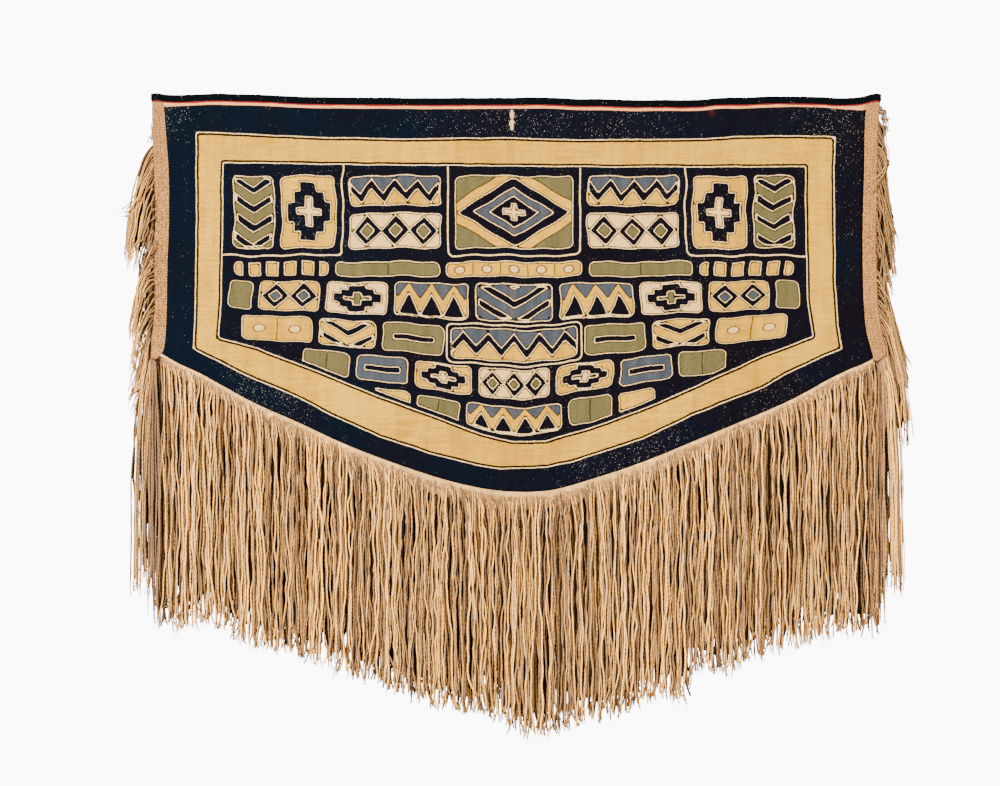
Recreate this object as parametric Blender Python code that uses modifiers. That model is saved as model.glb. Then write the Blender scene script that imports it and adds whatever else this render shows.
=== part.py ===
"""A twined wool dance blanket with a long fringe, hanging from its top edge.

Metres, +Z up. The blanket hangs in the XZ plane, its front faces -Y, and the
origin is the middle of its top edge. Each piece that a maker works on its own
is one object: the woven body, the heading, the red edging, the side strips,
and the fringes, whose strands are fused at their roots to a narrow strip.
"""
import math
import random
from collections import namedtuple

import bmesh
import bpy
import numpy as np
from mathutils import Vector

# Thicknesses of cloth and the air between neighbouring pieces
BODY_THICK = 0.003
HEADING_THICK = 0.0015
EDGING_THICK = 0.001
ROOT_STRIP_THICK = 0.005
GAP = 0.0004
ROOT_GAP = 0.00048
TOP_TUCK = 0.0009

# The heading is a cloth strip folded over the top edge
HEADING_DROP = 0.0141
HEADING_ARC_STEPS = 4
HEADING_END = 0.002
HEADING_KNOB = 1.25
HEADING_KNOB_LENGTH = 0.022
EDGING_HEIGHT = 0.003

# The body's grid, with a narrow crease down its middle
BODY_COLUMNS = 30
BODY_ROWS = 9
CREASE_X = -0.009
CREASE_HALF_WIDTH = 0.007
CREASE_DEPTH = 0.0016
CREASE_CLEAR_STEPS = 0.6

# Strands, as three-sided yarns that taper to their tips
STRAND_RADIUS = 0.0033
TAPER_SHARES = (0.0, 0.08, 0.9, 1.0)
TAPER_SCALES = (0.5, 1.0, 1.0, 0.6)
WELD_REACH = 0.00001
ROOT_SINK = 0.007
LAYER_DEPTHS = (-0.0075, 0.0075, 0.0)
BOTTOM_STRANDS = 210
BOTTOM_STEPS = (0.0, 0.09, 0.34, 0.68, 1.0)
BOTTOM_SWAY = 0.005
TIP_RAG = 0.035
SEED = 7

# A side fringe has short strands along its strip and long ones at its lower end
SIDE_STRANDS = 22
SIDE_LONG_STRANDS = 5
SIDE_LONG_FIRST = 0.6
SIDE_LONG_OUTWARD = 0.5
SIDE_LAYER_DEPTHS = (-0.0075, 0.0075)
SIDE_FIRST_Z = -0.100
SIDE_LAST_Z = -0.535
SIDE_LENGTH = 0.285
SIDE_LONG_TIP_Z = -1.080
SIDE_STEPS = (0.0, 0.10, 0.24, 0.42, 0.62, 0.82, 1.0)
SIDE_ROOT_WIDTH = 0.005
SIDE_INNER_X = 0.793
SIDE_TUCK = 0.09
SIDE_SPREAD_PER_STRAND = 0.0075

# Height of the top edge above the origin along the heading, uneven as it hangs
TopRow = namedtuple("TopRow", "x rise")
TOP_LINE = (
    TopRow(-0.803, 0.0085),
    TopRow(-0.779, 0.0100),
    TopRow(-0.739, 0.0050),
    TopRow(-0.717, 0.0056),
    TopRow(-0.662, 0.0105),
    TopRow(-0.585, 0.0082),
    TopRow(-0.541, 0.0070),
    TopRow(-0.497, 0.0040),
    TopRow(-0.453, 0.0026),
    TopRow(-0.343, 0.0013),
    TopRow(-0.211, 0.0004),
    TopRow(-0.079, 0.0004),
    TopRow(0.000, 0.0000),
    TopRow(0.070, 0.0010),
    TopRow(0.141, -0.0018),
    TopRow(0.255, -0.0040),
    TopRow(0.405, -0.0036),
    TopRow(0.438, 0.0000),
    TopRow(0.504, 0.0014),
    TopRow(0.581, 0.0040),
    TopRow(0.669, 0.0026),
    TopRow(0.713, -0.0002),
    TopRow(0.761, 0.0032),
    TopRow(0.803, 0.0095),
)

# Edges of the body and of the side strips down each side
SideRow = namedtuple("SideRow", "z body_left body_right strip_left strip_right")
SIDE_LINES = (
    SideRow(0.010, -0.776, 0.772, -0.801, 0.801),
    SideRow(-0.020, -0.774, 0.770, -0.801, 0.799),
    SideRow(-0.074, -0.770, 0.766, -0.800, 0.796),
    SideRow(-0.153, -0.764, 0.765, -0.797, 0.794),
    SideRow(-0.259, -0.763, 0.763, -0.796, 0.794),
    SideRow(-0.391, -0.767, 0.763, -0.796, 0.797),
    SideRow(-0.470, -0.768, 0.766, -0.796, 0.801),
    SideRow(-0.515, -0.770, 0.771, -0.802, 0.807),
    SideRow(-0.549, -0.774, 0.780, -0.811, 0.815),
    SideRow(-0.563, -0.779, 0.784, -0.813, 0.817),
    SideRow(-0.572, -0.779, 0.786, -0.813, 0.818),
)

# A strip's lower end: how far across its point is, how far down, and the outer corner's rise
StripEnd = namedtuple("StripEnd", "share drop rise")
STRIP_ENDS = {-1: StripEnd(0.48, 0.012, 0.0), 1: StripEnd(0.34, 0.006, 0.012)}

# The body's lower edge, a slack curve from corner to corner
LowerRow = namedtuple("LowerRow", "x z")
LOWER_LINE = (
    LowerRow(-0.779, -0.563),
    LowerRow(-0.748, -0.581),
    LowerRow(-0.695, -0.606),
    LowerRow(-0.642, -0.635),
    LowerRow(-0.590, -0.664),
    LowerRow(-0.484, -0.712),
    LowerRow(-0.378, -0.761),
    LowerRow(-0.246, -0.811),
    LowerRow(-0.141, -0.844),
    LowerRow(-0.062, -0.861),
    LowerRow(0.018, -0.867),
    LowerRow(0.070, -0.864),
    LowerRow(0.176, -0.836),
    LowerRow(0.282, -0.800),
    LowerRow(0.387, -0.757),
    LowerRow(0.493, -0.713),
    LowerRow(0.598, -0.665),
    LowerRow(0.678, -0.624),
    LowerRow(0.730, -0.596),
    LowerRow(0.786, -0.572),
)
ROOT_STRIP_SIDE_HEIGHT = 0.018
ROOT_STRIP_MIDDLE_HEIGHT = 0.036

# Where the tips of the bottom fringe reach
TipRow = namedtuple("TipRow", "x z")
TIP_LINE = (
    TipRow(-0.790, -1.163),
    TipRow(-0.730, -1.163),
    TipRow(-0.660, -1.150),
    TipRow(-0.607, -1.196),
    TipRow(-0.475, -1.229),
    TipRow(-0.365, -1.268),
    TipRow(-0.202, -1.326),
    TipRow(-0.132, -1.352),
    TipRow(-0.040, -1.362),
    TipRow(0.009, -1.403),
    TipRow(0.079, -1.396),
    TipRow(0.132, -1.372),
    TipRow(0.238, -1.350),
    TipRow(0.308, -1.317),
    TipRow(0.366, -1.325),
    TipRow(0.380, -1.252),
    TipRow(0.449, -1.268),
    TipRow(0.519, -1.231),
    TipRow(0.625, -1.198),
    TipRow(0.695, -1.178),
    TipRow(0.785, -1.176),
)

# How far the side fringes reach out at each height
ReachRow = namedtuple("ReachRow", "z left right")
SIDE_REACH = (
    ReachRow(-0.090, -0.806, 0.806),
    ReachRow(-0.153, -0.825, 0.814),
    ReachRow(-0.206, -0.842, 0.820),
    ReachRow(-0.260, -0.855, 0.836),
    ReachRow(-0.320, -0.860, 0.834),
    ReachRow(-0.365, -0.850, 0.835),
    ReachRow(-0.391, -0.836, 0.832),
    ReachRow(-0.430, -0.845, 0.829),
    ReachRow(-0.470, -0.847, 0.826),
    ReachRow(-0.520, -0.847, 0.840),
    ReachRow(-0.575, -0.841, 0.856),
    ReachRow(-0.630, -0.834, 0.858),
    ReachRow(-0.735, -0.836, 0.851),
    ReachRow(-0.840, -0.838, 0.845),
    ReachRow(-0.945, -0.848, 0.838),
    ReachRow(-1.050, -0.843, 0.845),
    ReachRow(-1.120, -0.815, 0.830),
)

# Shallow upright folds, deeper towards the lower edge; minus is towards the front
Fold = namedtuple("Fold", "x width top_depth low_depth")
FOLDS = (
    Fold(-0.690, 0.090, 0.0010, -0.0090),
    Fold(-0.440, 0.110, -0.0010, 0.0070),
    Fold(-0.190, 0.100, 0.0012, -0.0060),
    Fold(0.110, 0.100, -0.0008, 0.0060),
    Fold(0.360, 0.110, 0.0014, -0.0075),
    Fold(0.610, 0.090, -0.0010, 0.0060),
    Fold(0.770, 0.060, 0.0008, -0.0080),
)
FOLD_DROP = 0.87

Finish = namedtuple("Finish", "colour roughness")
FINISHES = {
    "wool_weave": Finish((0.42, 0.30, 0.16), 0.95),
    "heading_cloth": Finish((0.010, 0.010, 0.012), 0.95),
    "red_cloth": Finish((0.50, 0.05, 0.05), 0.9),
    "strip_yarn": Finish((0.60, 0.38, 0.22), 0.95),
    "fringe_yarn": Finish((0.52, 0.33, 0.17), 0.95),
}


def read(table, key, column):
    """Straight-line reading of one column of a table, as a function of its key."""
    rows = sorted(table, key=lambda row: getattr(row, key))
    keys = [getattr(row, key) for row in rows]
    values = [getattr(row, column) for row in rows]
    return lambda at: float(np.interp(at, keys, values))


top_rise = read(TOP_LINE, "x", "rise")
lower_z = read(LOWER_LINE, "x", "z")
tip_z = read(TIP_LINE, "x", "z")


def relief(x, z):
    """Depth of the cloth's middle surface, from its folds and its middle crease."""
    down = min(max(-z / FOLD_DROP, 0.0), 1.0)
    depth = 0.0
    for fold in FOLDS:
        height = fold.top_depth + (fold.low_depth - fold.top_depth) * down
        depth += height * math.exp(-(((x - fold.x) / fold.width) ** 2))
    crease = max(0.0, 1.0 - abs(x - CREASE_X) / CREASE_HALF_WIDTH)
    return depth + CREASE_DEPTH * crease


def collection(name):
    made = bpy.data.collections.new(name)
    bpy.context.scene.collection.children.link(made)
    return made


def material(name):
    finish = FINISHES[name]
    made = bpy.data.materials.get(name)
    if made:
        return made
    made = bpy.data.materials.new(name)
    made.use_nodes = True
    shader = made.node_tree.nodes["Principled BSDF"]
    shader.inputs["Base Color"].default_value = (*finish.colour, 1.0)
    shader.inputs["Roughness"].default_value = finish.roughness
    shader.inputs["Metallic"].default_value = 0.0
    return made


def sheet(name, place, columns, rows, thick, finish, target):
    """A grid whose point (column, row) goes to place(column, row), made solid."""
    mesh = bpy.data.meshes.new(name)
    grid = bmesh.new()
    bmesh.ops.create_grid(grid, x_segments=columns, y_segments=rows, size=0.5)
    for vert in grid.verts:
        column = round((vert.co.x + 0.5) * columns)
        row = round((vert.co.y + 0.5) * rows)
        vert.co = place(column, row)
    grid.to_mesh(mesh)
    grid.free()
    mesh.materials.append(material(finish))
    made = bpy.data.objects.new(name, mesh)
    target.objects.link(made)
    solid = made.modifiers.new("thickness", "SOLIDIFY")
    solid.thickness = thick
    solid.offset = 0.0
    return made


def top_of_cloth(x):
    """The cloth's own top edge, just inside the fold of the heading."""
    return top_rise(x) - HEADING_THICK - GAP - TOP_TUCK


def body_columns():
    """Places across the body from 0 to 1, even but for three at the crease."""
    left = LOWER_LINE[0].x
    width = LOWER_LINE[-1].x - left
    crease = [(CREASE_X + side * CREASE_HALF_WIDTH - left) / width for side in (-1, 0, 1)]
    even = [step / BODY_COLUMNS for step in range(BODY_COLUMNS + 1)]
    apart = CREASE_CLEAR_STEPS / BODY_COLUMNS
    kept = [u for u in even if min(abs(u - c) for c in crease) > apart]
    return sorted(kept + crease)


ACROSS = body_columns()
edge_left = read(SIDE_LINES, "z", "body_left")
edge_right = read(SIDE_LINES, "z", "body_right")
strip_left = read(SIDE_LINES, "z", "strip_left")
strip_right = read(SIDE_LINES, "z", "strip_right")


def body_point(column, row):
    share = ACROSS[column]
    low = lower_z(LOWER_LINE[0].x + share * (LOWER_LINE[-1].x - LOWER_LINE[0].x))
    high = top_of_cloth(edge_left(0.0) + share * (edge_right(0.0) - edge_left(0.0)))
    z = low + (high - low) * row / BODY_ROWS
    x = edge_left(z) + share * (edge_right(z) - edge_left(z))
    return Vector((x, relief(x, z), z))


def make_body(target):
    return sheet(
        "woven_body", body_point, len(ACROSS) - 1, BODY_ROWS, BODY_THICK, "wool_weave", target
    )


def heading_columns():
    """Places along the heading, the same as the body's and the strips' own."""
    body = [body_point(column, BODY_ROWS).x for column in range(len(ACROSS))]
    ends = (strip_left(0.0), strip_right(0.0))
    knob = ends[0] + HEADING_KNOB_LENGTH
    first = [ends[0] - HEADING_END, ends[0], knob]
    last = [body[-1], ends[1], ends[1] + HEADING_END]
    return first + body[1:-1] + last


ALONG = heading_columns()


def heading_profile():
    """Offsets across and up, from the front's lower edge over the top to the back."""
    out = BODY_THICK / 2 + GAP + HEADING_THICK / 2
    points = [(-out, -HEADING_DROP)]
    for step in range(HEADING_ARC_STEPS + 1):
        angle = math.pi * step / HEADING_ARC_STEPS
        points.append((-out * math.cos(angle), -out - HEADING_THICK / 2 + out * math.sin(angle)))
    points.append((out, -HEADING_DROP))
    return points


PROFILE = heading_profile()


def heading_point(column, row):
    x = ALONG[column]
    across, up = PROFILE[row]
    swell = HEADING_KNOB if column == 1 else 1.0
    return Vector((x, relief(x, 0.0) + across * swell, top_rise(x) + up))


def make_heading(target):
    return sheet(
        "heading_band", heading_point, len(ALONG) - 1, len(PROFILE) - 1,
        HEADING_THICK, "heading_cloth", target,
    )


def edging_point(column, row):
    x = ALONG[column]
    front = BODY_THICK / 2 + GAP + EDGING_THICK / 2
    below = HEADING_DROP + GAP + EDGING_HEIGHT * (1 - row)
    return Vector((x, relief(x, 0.0) - front, top_rise(x) - below))


def make_edging(target):
    return sheet(
        "red_edging", edging_point, len(ALONG) - 1, 1, EDGING_THICK, "red_cloth", target
    )


def side_heights(side):
    """The heights of the body's own rows at one side, from its corner up."""
    column = 0 if side < 0 else len(ACROSS) - 1
    return [body_point(column, row).z for row in range(BODY_ROWS + 1)]


def strip_edges(side, z):
    """Inner and outer edge of a side strip at one height."""
    body = edge_left(z) if side < 0 else edge_right(z)
    outer = strip_left(z) if side < 0 else strip_right(z)
    return body + side * GAP, outer


def strip_corner(side):
    """The strip's lower end: its inner corner, its point and its outer corner."""
    end = STRIP_ENDS[side]
    z = side_heights(side)[0]
    inner, outer = strip_edges(side, z)
    point_x = inner + (outer - inner) * end.share
    return (inner, z), (point_x, z - end.drop), (outer, z + end.rise)


def make_strip(side, target):
    name = "side_strip_left" if side < 0 else "side_strip_right"
    heights = side_heights(side)
    low = [corner[1] for corner in strip_corner(side)]
    shares = (0.0, STRIP_ENDS[side].share, 1.0)

    def at(column, row):
        z = heights[row]
        inner, outer = strip_edges(side, z)
        place = column if side > 0 else 2 - column
        x = inner + (outer - inner) * shares[place]
        if row == 0:
            z = low[place]
        if row == BODY_ROWS:
            z = top_of_cloth(x)
        return Vector((x, relief(x, z), z))

    return sheet(name, at, 2, len(heights) - 1, BODY_THICK, "strip_yarn", target)


def strand_mesh(name, paths):
    """Closed three-sided yarns along paths of (point, scale), as one mesh."""
    profile = bpy.data.curves.new("strand_section", "CURVE")
    ring = profile.splines.new("POLY")
    ring.points.add(2)
    ring.use_cyclic_u = True
    for index, point in enumerate(ring.points):
        turn = 2 * math.pi * index / 3
        point.co = (STRAND_RADIUS * math.cos(turn), STRAND_RADIUS * math.sin(turn), 0, 1)
    section = bpy.data.objects.new("strand_section", profile)
    bpy.context.scene.collection.objects.link(section)

    curve = bpy.data.curves.new(name, "CURVE")
    curve.dimensions = "3D"
    curve.twist_mode = "MINIMUM"
    curve.bevel_mode = "OBJECT"
    curve.bevel_object = section
    curve.use_fill_caps = True
    for path in paths:
        spline = curve.splines.new("POLY")
        spline.points.add(len(path) - 1)
        for point, (place, scale) in zip(spline.points, path):
            point.co = (*place, 1)
            point.radius = scale
    guide = bpy.data.objects.new(name + "_guide", curve)
    bpy.context.scene.collection.objects.link(guide)
    bpy.context.view_layer.update()
    evaluated = guide.evaluated_get(bpy.context.evaluated_depsgraph_get())
    mesh = bpy.data.meshes.new_from_object(evaluated)
    mesh.name = name
    bpy.data.objects.remove(guide)
    bpy.data.objects.remove(section)

    welded = bmesh.new()
    welded.from_mesh(mesh)
    bmesh.ops.remove_doubles(welded, verts=welded.verts, dist=WELD_REACH)
    bmesh.ops.recalc_face_normals(welded, faces=welded.faces)
    welded.to_mesh(mesh)
    welded.free()
    return mesh


def fuse_strands(backing, paths, cutters):
    """Joins the strands to their backing strip at the roots."""
    name = backing.name + "_strands"
    strands = bpy.data.objects.new(name, strand_mesh(name, paths))
    strands.hide_render = True
    strands.display_type = "WIRE"
    cutters.objects.link(strands)
    union = backing.modifiers.new("strands", "BOOLEAN")
    union.operation = "UNION"
    union.solver = "EXACT"
    union.object = strands


def root_strip_height(x):
    """Height of the bottom fringe's twined root strip, tallest at the middle."""
    reach = LOWER_LINE[-1].x
    share = math.cos(math.pi / 2 * min(abs(x) / reach, 1.0))
    return ROOT_STRIP_SIDE_HEIGHT + (ROOT_STRIP_MIDDLE_HEIGHT - ROOT_STRIP_SIDE_HEIGHT) * share


def root_strip_point(column, row):
    edge = body_point(column, 0)
    z = edge.z - ROOT_GAP - root_strip_height(edge.x) * (1 - row)
    return Vector((edge.x, relief(edge.x, edge.z), z))


def taper(share):
    """Scale of a strand along its length: thinner in its root strip and at its tip."""
    return float(np.interp(share, TAPER_SHARES, TAPER_SCALES))


def bottom_paths():
    """One yarn after another under the lower edge, in three layers front to back."""
    chance = random.Random(SEED)
    first = LOWER_LINE[0].x + 2 * STRAND_RADIUS
    last = LOWER_LINE[-1].x - 2 * STRAND_RADIUS
    paths = []
    for index in range(BOTTOM_STRANDS):
        x = first + (last - first) * index / (BOTTOM_STRANDS - 1)
        top = lower_z(x) - root_strip_height(x) + ROOT_SINK
        tip = tip_z(x) + TIP_RAG * chance.random() ** 2
        layer = LAYER_DEPTHS[index % len(LAYER_DEPTHS)]
        sway = [0.0, 0.0] + [BOTTOM_SWAY * chance.uniform(-1, 1) for _ in BOTTOM_STEPS[2:]]
        path = []
        for share, aside in zip(BOTTOM_STEPS, sway):
            spread = min(share / BOTTOM_STEPS[1], 1.0)
            depth = relief(x, lower_z(x)) + layer * spread
            path.append((Vector((x + aside, depth, top + (tip - top) * share)), taper(share)))
        paths.append(path)
    return paths


def make_bottom_fringe(target, cutters):
    backing = sheet(
        "bottom_fringe", root_strip_point, len(ACROSS) - 1, 1, ROOT_STRIP_THICK, "fringe_yarn", target
    )
    fuse_strands(backing, bottom_paths(), cutters)


def outer_edge(side, z):
    """The side strip's outer edge as it is built, straight from row to row."""
    heights = side_heights(side)
    edges = [strip_edges(side, height)[1] for height in heights]
    heights[0] = strip_corner(side)[2][1]
    return float(np.interp(z, heights, edges))


def side_path(side, root_x, heights, ranks, crowd, layer):
    """One yarn of a side fringe: its place among those that hang beside it."""
    reach = read(SIDE_REACH, "z", "left" if side < 0 else "right")
    corner_z = side_heights(side)[0]
    path = []
    for share, z, rank, alive in zip(SIDE_STEPS, heights, ranks, crowd):
        edge = outer_edge(side, z) + side * SIDE_ROOT_WIDTH
        below = min(max((corner_z - z) / SIDE_TUCK, 0.0), 1.0)
        inner = edge + (side * SIDE_INNER_X - edge) * below
        width = abs(reach(z) - inner) - STRAND_RADIUS
        aside = min(SIDE_SPREAD_PER_STRAND * rank, width * rank / alive)
        x = inner + side * aside
        spread = min(share / SIDE_STEPS[1], 1.0)
        path.append((Vector((x, relief(x, heights[0]) + layer * spread, z)), taper(share)))
    path[0][0].x = root_x
    return path


def short_side_paths(side):
    """Yarns along the strip's outer edge, the first of them the furthest out."""
    roots = np.linspace(SIDE_FIRST_Z, SIDE_LAST_Z, SIDE_STRANDS)
    order = range(SIDE_STRANDS)
    paths = []
    for index, root in enumerate(roots):
        heights = [root - SIDE_LENGTH * share for share in SIDE_STEPS]
        begun = np.interp([-z for z in heights], -roots, order)
        ended = np.interp([-z for z in heights], SIDE_LENGTH - roots, order)
        root_x = outer_edge(side, root) + side * SIDE_ROOT_WIDTH / 2
        layer = SIDE_LAYER_DEPTHS[index % len(SIDE_LAYER_DEPTHS)]
        paths.append(side_path(side, root_x, heights, begun - index, begun - ended + 1, layer))
    return paths


def long_side_paths(side):
    """Yarns under the strip's lower end, as long as those of the bottom fringe."""
    chance = random.Random(SEED + side)
    point, outer_corner = strip_corner(side)[1:]
    crowd = [SIDE_LONG_STRANDS] * len(SIDE_STEPS)
    paths = []
    for index in range(SIDE_LONG_STRANDS):
        share = (index + SIDE_LONG_FIRST) / SIDE_LONG_STRANDS
        root_x = outer_corner[0] + (point[0] - outer_corner[0]) * share
        root = outer_corner[1] + (point[1] - outer_corner[1]) * share - SIDE_ROOT_WIDTH / 2
        tip = SIDE_LONG_TIP_Z - TIP_RAG * chance.random()
        heights = [root + (tip - root) * step for step in SIDE_STEPS]
        ranks = [SIDE_LONG_STRANDS - index - SIDE_LONG_OUTWARD] * len(SIDE_STEPS)
        paths.append(side_path(side, root_x, heights, ranks, crowd, 0.0))
    return paths


def make_side_fringe(side, target, cutters):
    name = "side_fringe_left" if side < 0 else "side_fringe_right"
    top = SIDE_FIRST_Z + SIDE_ROOT_WIDTH
    heights = [z for z in side_heights(side)[1:] if z < top] + [top]
    point, outer_corner = strip_corner(side)[1:]

    def place(column, row):
        out = (GAP, GAP + SIDE_ROOT_WIDTH)[column if side > 0 else 1 - column]
        if row == 0:
            x = point[0]
            z = point[1] - out
        elif row == 1:
            x = outer_corner[0] + side * out
            z = outer_corner[1] - out
        else:
            z = heights[row - 2]
            x = outer_edge(side, z) + side * out
        return Vector((x, relief(x, z), z))

    backing = sheet(name, place, 1, len(heights) + 1, ROOT_STRIP_THICK, "fringe_yarn", target)
    fuse_strands(backing, short_side_paths(side) + long_side_paths(side), cutters)


def main():
    for old in list(bpy.data.objects):
        bpy.data.objects.remove(old)
    pieces = collection("chilkat_blanket")
    cutters = collection("cutters")
    make_body(pieces)
    make_heading(pieces)
    make_edging(pieces)
    for side in (-1, 1):
        make_strip(side, pieces)
        make_side_fringe(side, pieces, cutters)
    make_bottom_fringe(pieces, cutters)


main()
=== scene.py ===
"""Looks of a twined wool dance blanket with long fringes, hung from its heading.

Metres, in the frame's own axes: the blanket hangs in the XZ plane, its front
faces -Y, and the origin is the middle of its top edge.
"""
import math
from collections import namedtuple

import bpy
import numpy as np
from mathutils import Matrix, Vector


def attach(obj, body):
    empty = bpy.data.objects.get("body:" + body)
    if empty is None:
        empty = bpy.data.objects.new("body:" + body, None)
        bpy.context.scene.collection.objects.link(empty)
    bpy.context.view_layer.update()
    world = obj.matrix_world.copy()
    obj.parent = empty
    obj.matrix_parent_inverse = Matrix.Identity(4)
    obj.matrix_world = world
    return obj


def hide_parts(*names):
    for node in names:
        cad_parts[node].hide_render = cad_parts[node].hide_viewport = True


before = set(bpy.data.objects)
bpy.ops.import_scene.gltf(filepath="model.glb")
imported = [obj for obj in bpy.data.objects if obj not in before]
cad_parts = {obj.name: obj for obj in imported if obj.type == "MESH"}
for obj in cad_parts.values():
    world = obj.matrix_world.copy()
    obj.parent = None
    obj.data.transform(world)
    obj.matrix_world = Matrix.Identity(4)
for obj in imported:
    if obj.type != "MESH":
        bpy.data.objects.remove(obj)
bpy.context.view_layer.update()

TURN = 2 * math.pi
SEED = 11

# The photograph's frame, and how the blanket lies in it
IMAGE_WIDTH = 1000
METRES_PER_PIXEL = 0.0022
VIEW_MIDDLE_X = -0.035
VIEW_MIDDLE_Z = -0.648
CAMERA_AWAY = 9.0
SENSOR = 36.0
FLOOR_Z = -2.05
SURROUND_LIT = 0.42
SURROUND_SEEN = 10.5

# Thicknesses and small heights of the cloth pieces
BODY_THICK = 0.003
HEADING_THICK = 0.0015
HEADING_DROP = 0.0141
HEADING_FULL = 0.0009
EDGING_THICK = 0.001
EDGING_HEIGHT = 0.003
ROOT_THICK = 0.0048
GAP = 0.0004
UNDER_HEADING = HEADING_THICK + GAP + BODY_THICK * 0.3


def named(columns, *rows):
    """A short table whose columns have names."""
    row = namedtuple("Row", columns)
    return [row(*values) for values in rows]


# Height of the heading's top along the blanket, uneven as it hangs
TOP_LINE = named(
    "x rise",
    (-0.803, 0.0092), (-0.796, 0.0108), (-0.783, 0.0100), (-0.772, 0.0080), (-0.758, 0.0075),
    (-0.739, 0.0070), (-0.717, 0.0078), (-0.695, 0.0090), (-0.662, 0.0099), (-0.629, 0.0092),
    (-0.585, 0.0082), (-0.541, 0.0070), (-0.497, 0.0040), (-0.453, 0.0026), (-0.400, 0.0020),
    (-0.343, 0.0013), (-0.277, 0.0010), (-0.211, 0.0004), (-0.145, 0.0004), (-0.079, 0.0008),
    (0.000, 0.0010), (0.070, 0.0014), (0.141, -0.0018), (0.185, -0.0020), (0.255, -0.0040),
    (0.317, -0.0038), (0.383, -0.0040), (0.405, -0.0034), (0.438, 0.0002), (0.504, 0.0014),
    (0.581, 0.0040), (0.625, 0.0035), (0.669, 0.0026), (0.713, -0.0002), (0.735, 0.0010),
    (0.761, 0.0032), (0.779, 0.0078), (0.792, 0.0106), (0.803, 0.0090),
)

# Edges of the woven body and of the side strips, down each side
SIDE_LINES = named(
    "z body_left body_right strip_left strip_right",
    (0.010, -0.776, 0.772, -0.801, 0.802),
    (-0.020, -0.774, 0.770, -0.801, 0.801),
    (-0.074, -0.770, 0.767, -0.800, 0.798),
    (-0.153, -0.764, 0.766, -0.797, 0.796),
    (-0.259, -0.763, 0.763, -0.796, 0.795),
    (-0.391, -0.767, 0.763, -0.796, 0.795),
    (-0.470, -0.768, 0.766, -0.796, 0.799),
    (-0.515, -0.770, 0.771, -0.802, 0.807),
    (-0.549, -0.774, 0.780, -0.811, 0.815),
    (-0.563, -0.779, 0.784, -0.813, 0.817),
    (-0.574, -0.779, 0.786, -0.813, 0.818),
)

# The body's lower edge, a slack curve from corner to corner
LOWER_LINE = named(
    "x z",
    (-0.779, -0.563), (-0.748, -0.581), (-0.695, -0.606), (-0.642, -0.635), (-0.590, -0.664),
    (-0.484, -0.712), (-0.378, -0.761), (-0.246, -0.811), (-0.141, -0.844), (-0.062, -0.861),
    (0.018, -0.867), (0.070, -0.864), (0.176, -0.836), (0.282, -0.800), (0.387, -0.757),
    (0.493, -0.713), (0.598, -0.668), (0.651, -0.6405), (0.678, -0.625), (0.730, -0.599),
    (0.768, -0.583), (0.786, -0.573),
)
CORNER_LEFT, CORNER_RIGHT = LOWER_LINE[0], LOWER_LINE[-1]

# Where the tips of the bottom fringe reach
TIP_LINE = named(
    "x z",
    (-0.790, -1.163), (-0.730, -1.163), (-0.660, -1.150), (-0.607, -1.196), (-0.475, -1.229),
    (-0.365, -1.268), (-0.202, -1.326), (-0.132, -1.352), (-0.040, -1.362), (0.009, -1.403),
    (0.079, -1.396), (0.132, -1.372), (0.238, -1.350), (0.308, -1.317), (0.366, -1.325),
    (0.380, -1.252), (0.449, -1.268), (0.519, -1.231), (0.625, -1.198), (0.695, -1.178),
    (0.785, -1.176),
)

# Shallow upright folds, deeper towards the lower edge; minus is towards the front
FOLDS = named(
    "x width top_depth low_depth",
    (-0.690, 0.090, 0.0010, -0.0090),
    (-0.440, 0.110, -0.0010, 0.0070),
    (-0.190, 0.100, 0.0012, -0.0060),
    (0.110, 0.100, -0.0008, 0.0060),
    (0.360, 0.110, 0.0014, -0.0075),
    (0.610, 0.090, -0.0010, 0.0060),
    (0.770, 0.060, 0.0008, -0.0080),
)
FOLD_DROP = 0.87
CREASE_X = -0.009
CREASE_HALF_WIDTH = 0.007
CREASE_DEPTH = 0.0016

# Outlines inside the cloth: the inner edge of the black border, and the field's edge
BORDER_INNER = (
    (-0.704, -0.074), (-0.660, -0.074), (-0.580, -0.078), (-0.458, -0.084), (-0.246, -0.088),
    (-0.010, -0.086), (0.123, -0.090), (0.255, -0.090), (0.414, -0.088), (0.480, -0.083),
    (0.620, -0.081), (0.704, -0.083), (0.701, -0.150), (0.703, -0.391), (0.709, -0.497),
    (0.718, -0.551), (0.678, -0.568), (0.598, -0.605), (0.546, -0.636), (0.387, -0.698),
    (0.282, -0.749), (0.123, -0.801), (0.070, -0.812), (-0.035, -0.816), (-0.088, -0.808),
    (-0.194, -0.780), (-0.299, -0.745), (-0.405, -0.698), (-0.484, -0.657), (-0.590, -0.612),
    (-0.710, -0.552), (-0.706, -0.470), (-0.704, -0.300),
)
FIELD_EDGE = (
    (-0.643, -0.142), (-0.400, -0.146), (-0.009, -0.150), (0.255, -0.152), (0.636, -0.151),
    (0.637, -0.300), (0.641, -0.440), (0.652, -0.523), (0.540, -0.566), (0.400, -0.630),
    (0.273, -0.685), (0.160, -0.725), (0.064, -0.753), (-0.009, -0.754), (-0.075, -0.738),
    (-0.167, -0.703), (-0.300, -0.655), (-0.430, -0.602), (-0.568, -0.549), (-0.653, -0.525),
    (-0.647, -0.440), (-0.645, -0.300),
)
CREAM_ROW_HEIGHT = 0.0236
CREAM_ROW_ENDS = (
    (-0.800, -0.774, -0.740, 0.500, 0.660, 0.706, 0.738, 0.767),
    (0.0028, 0.0024, 0.0, 0.0, -0.0016, -0.0011, 0.0020, 0.0062),
)

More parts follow.
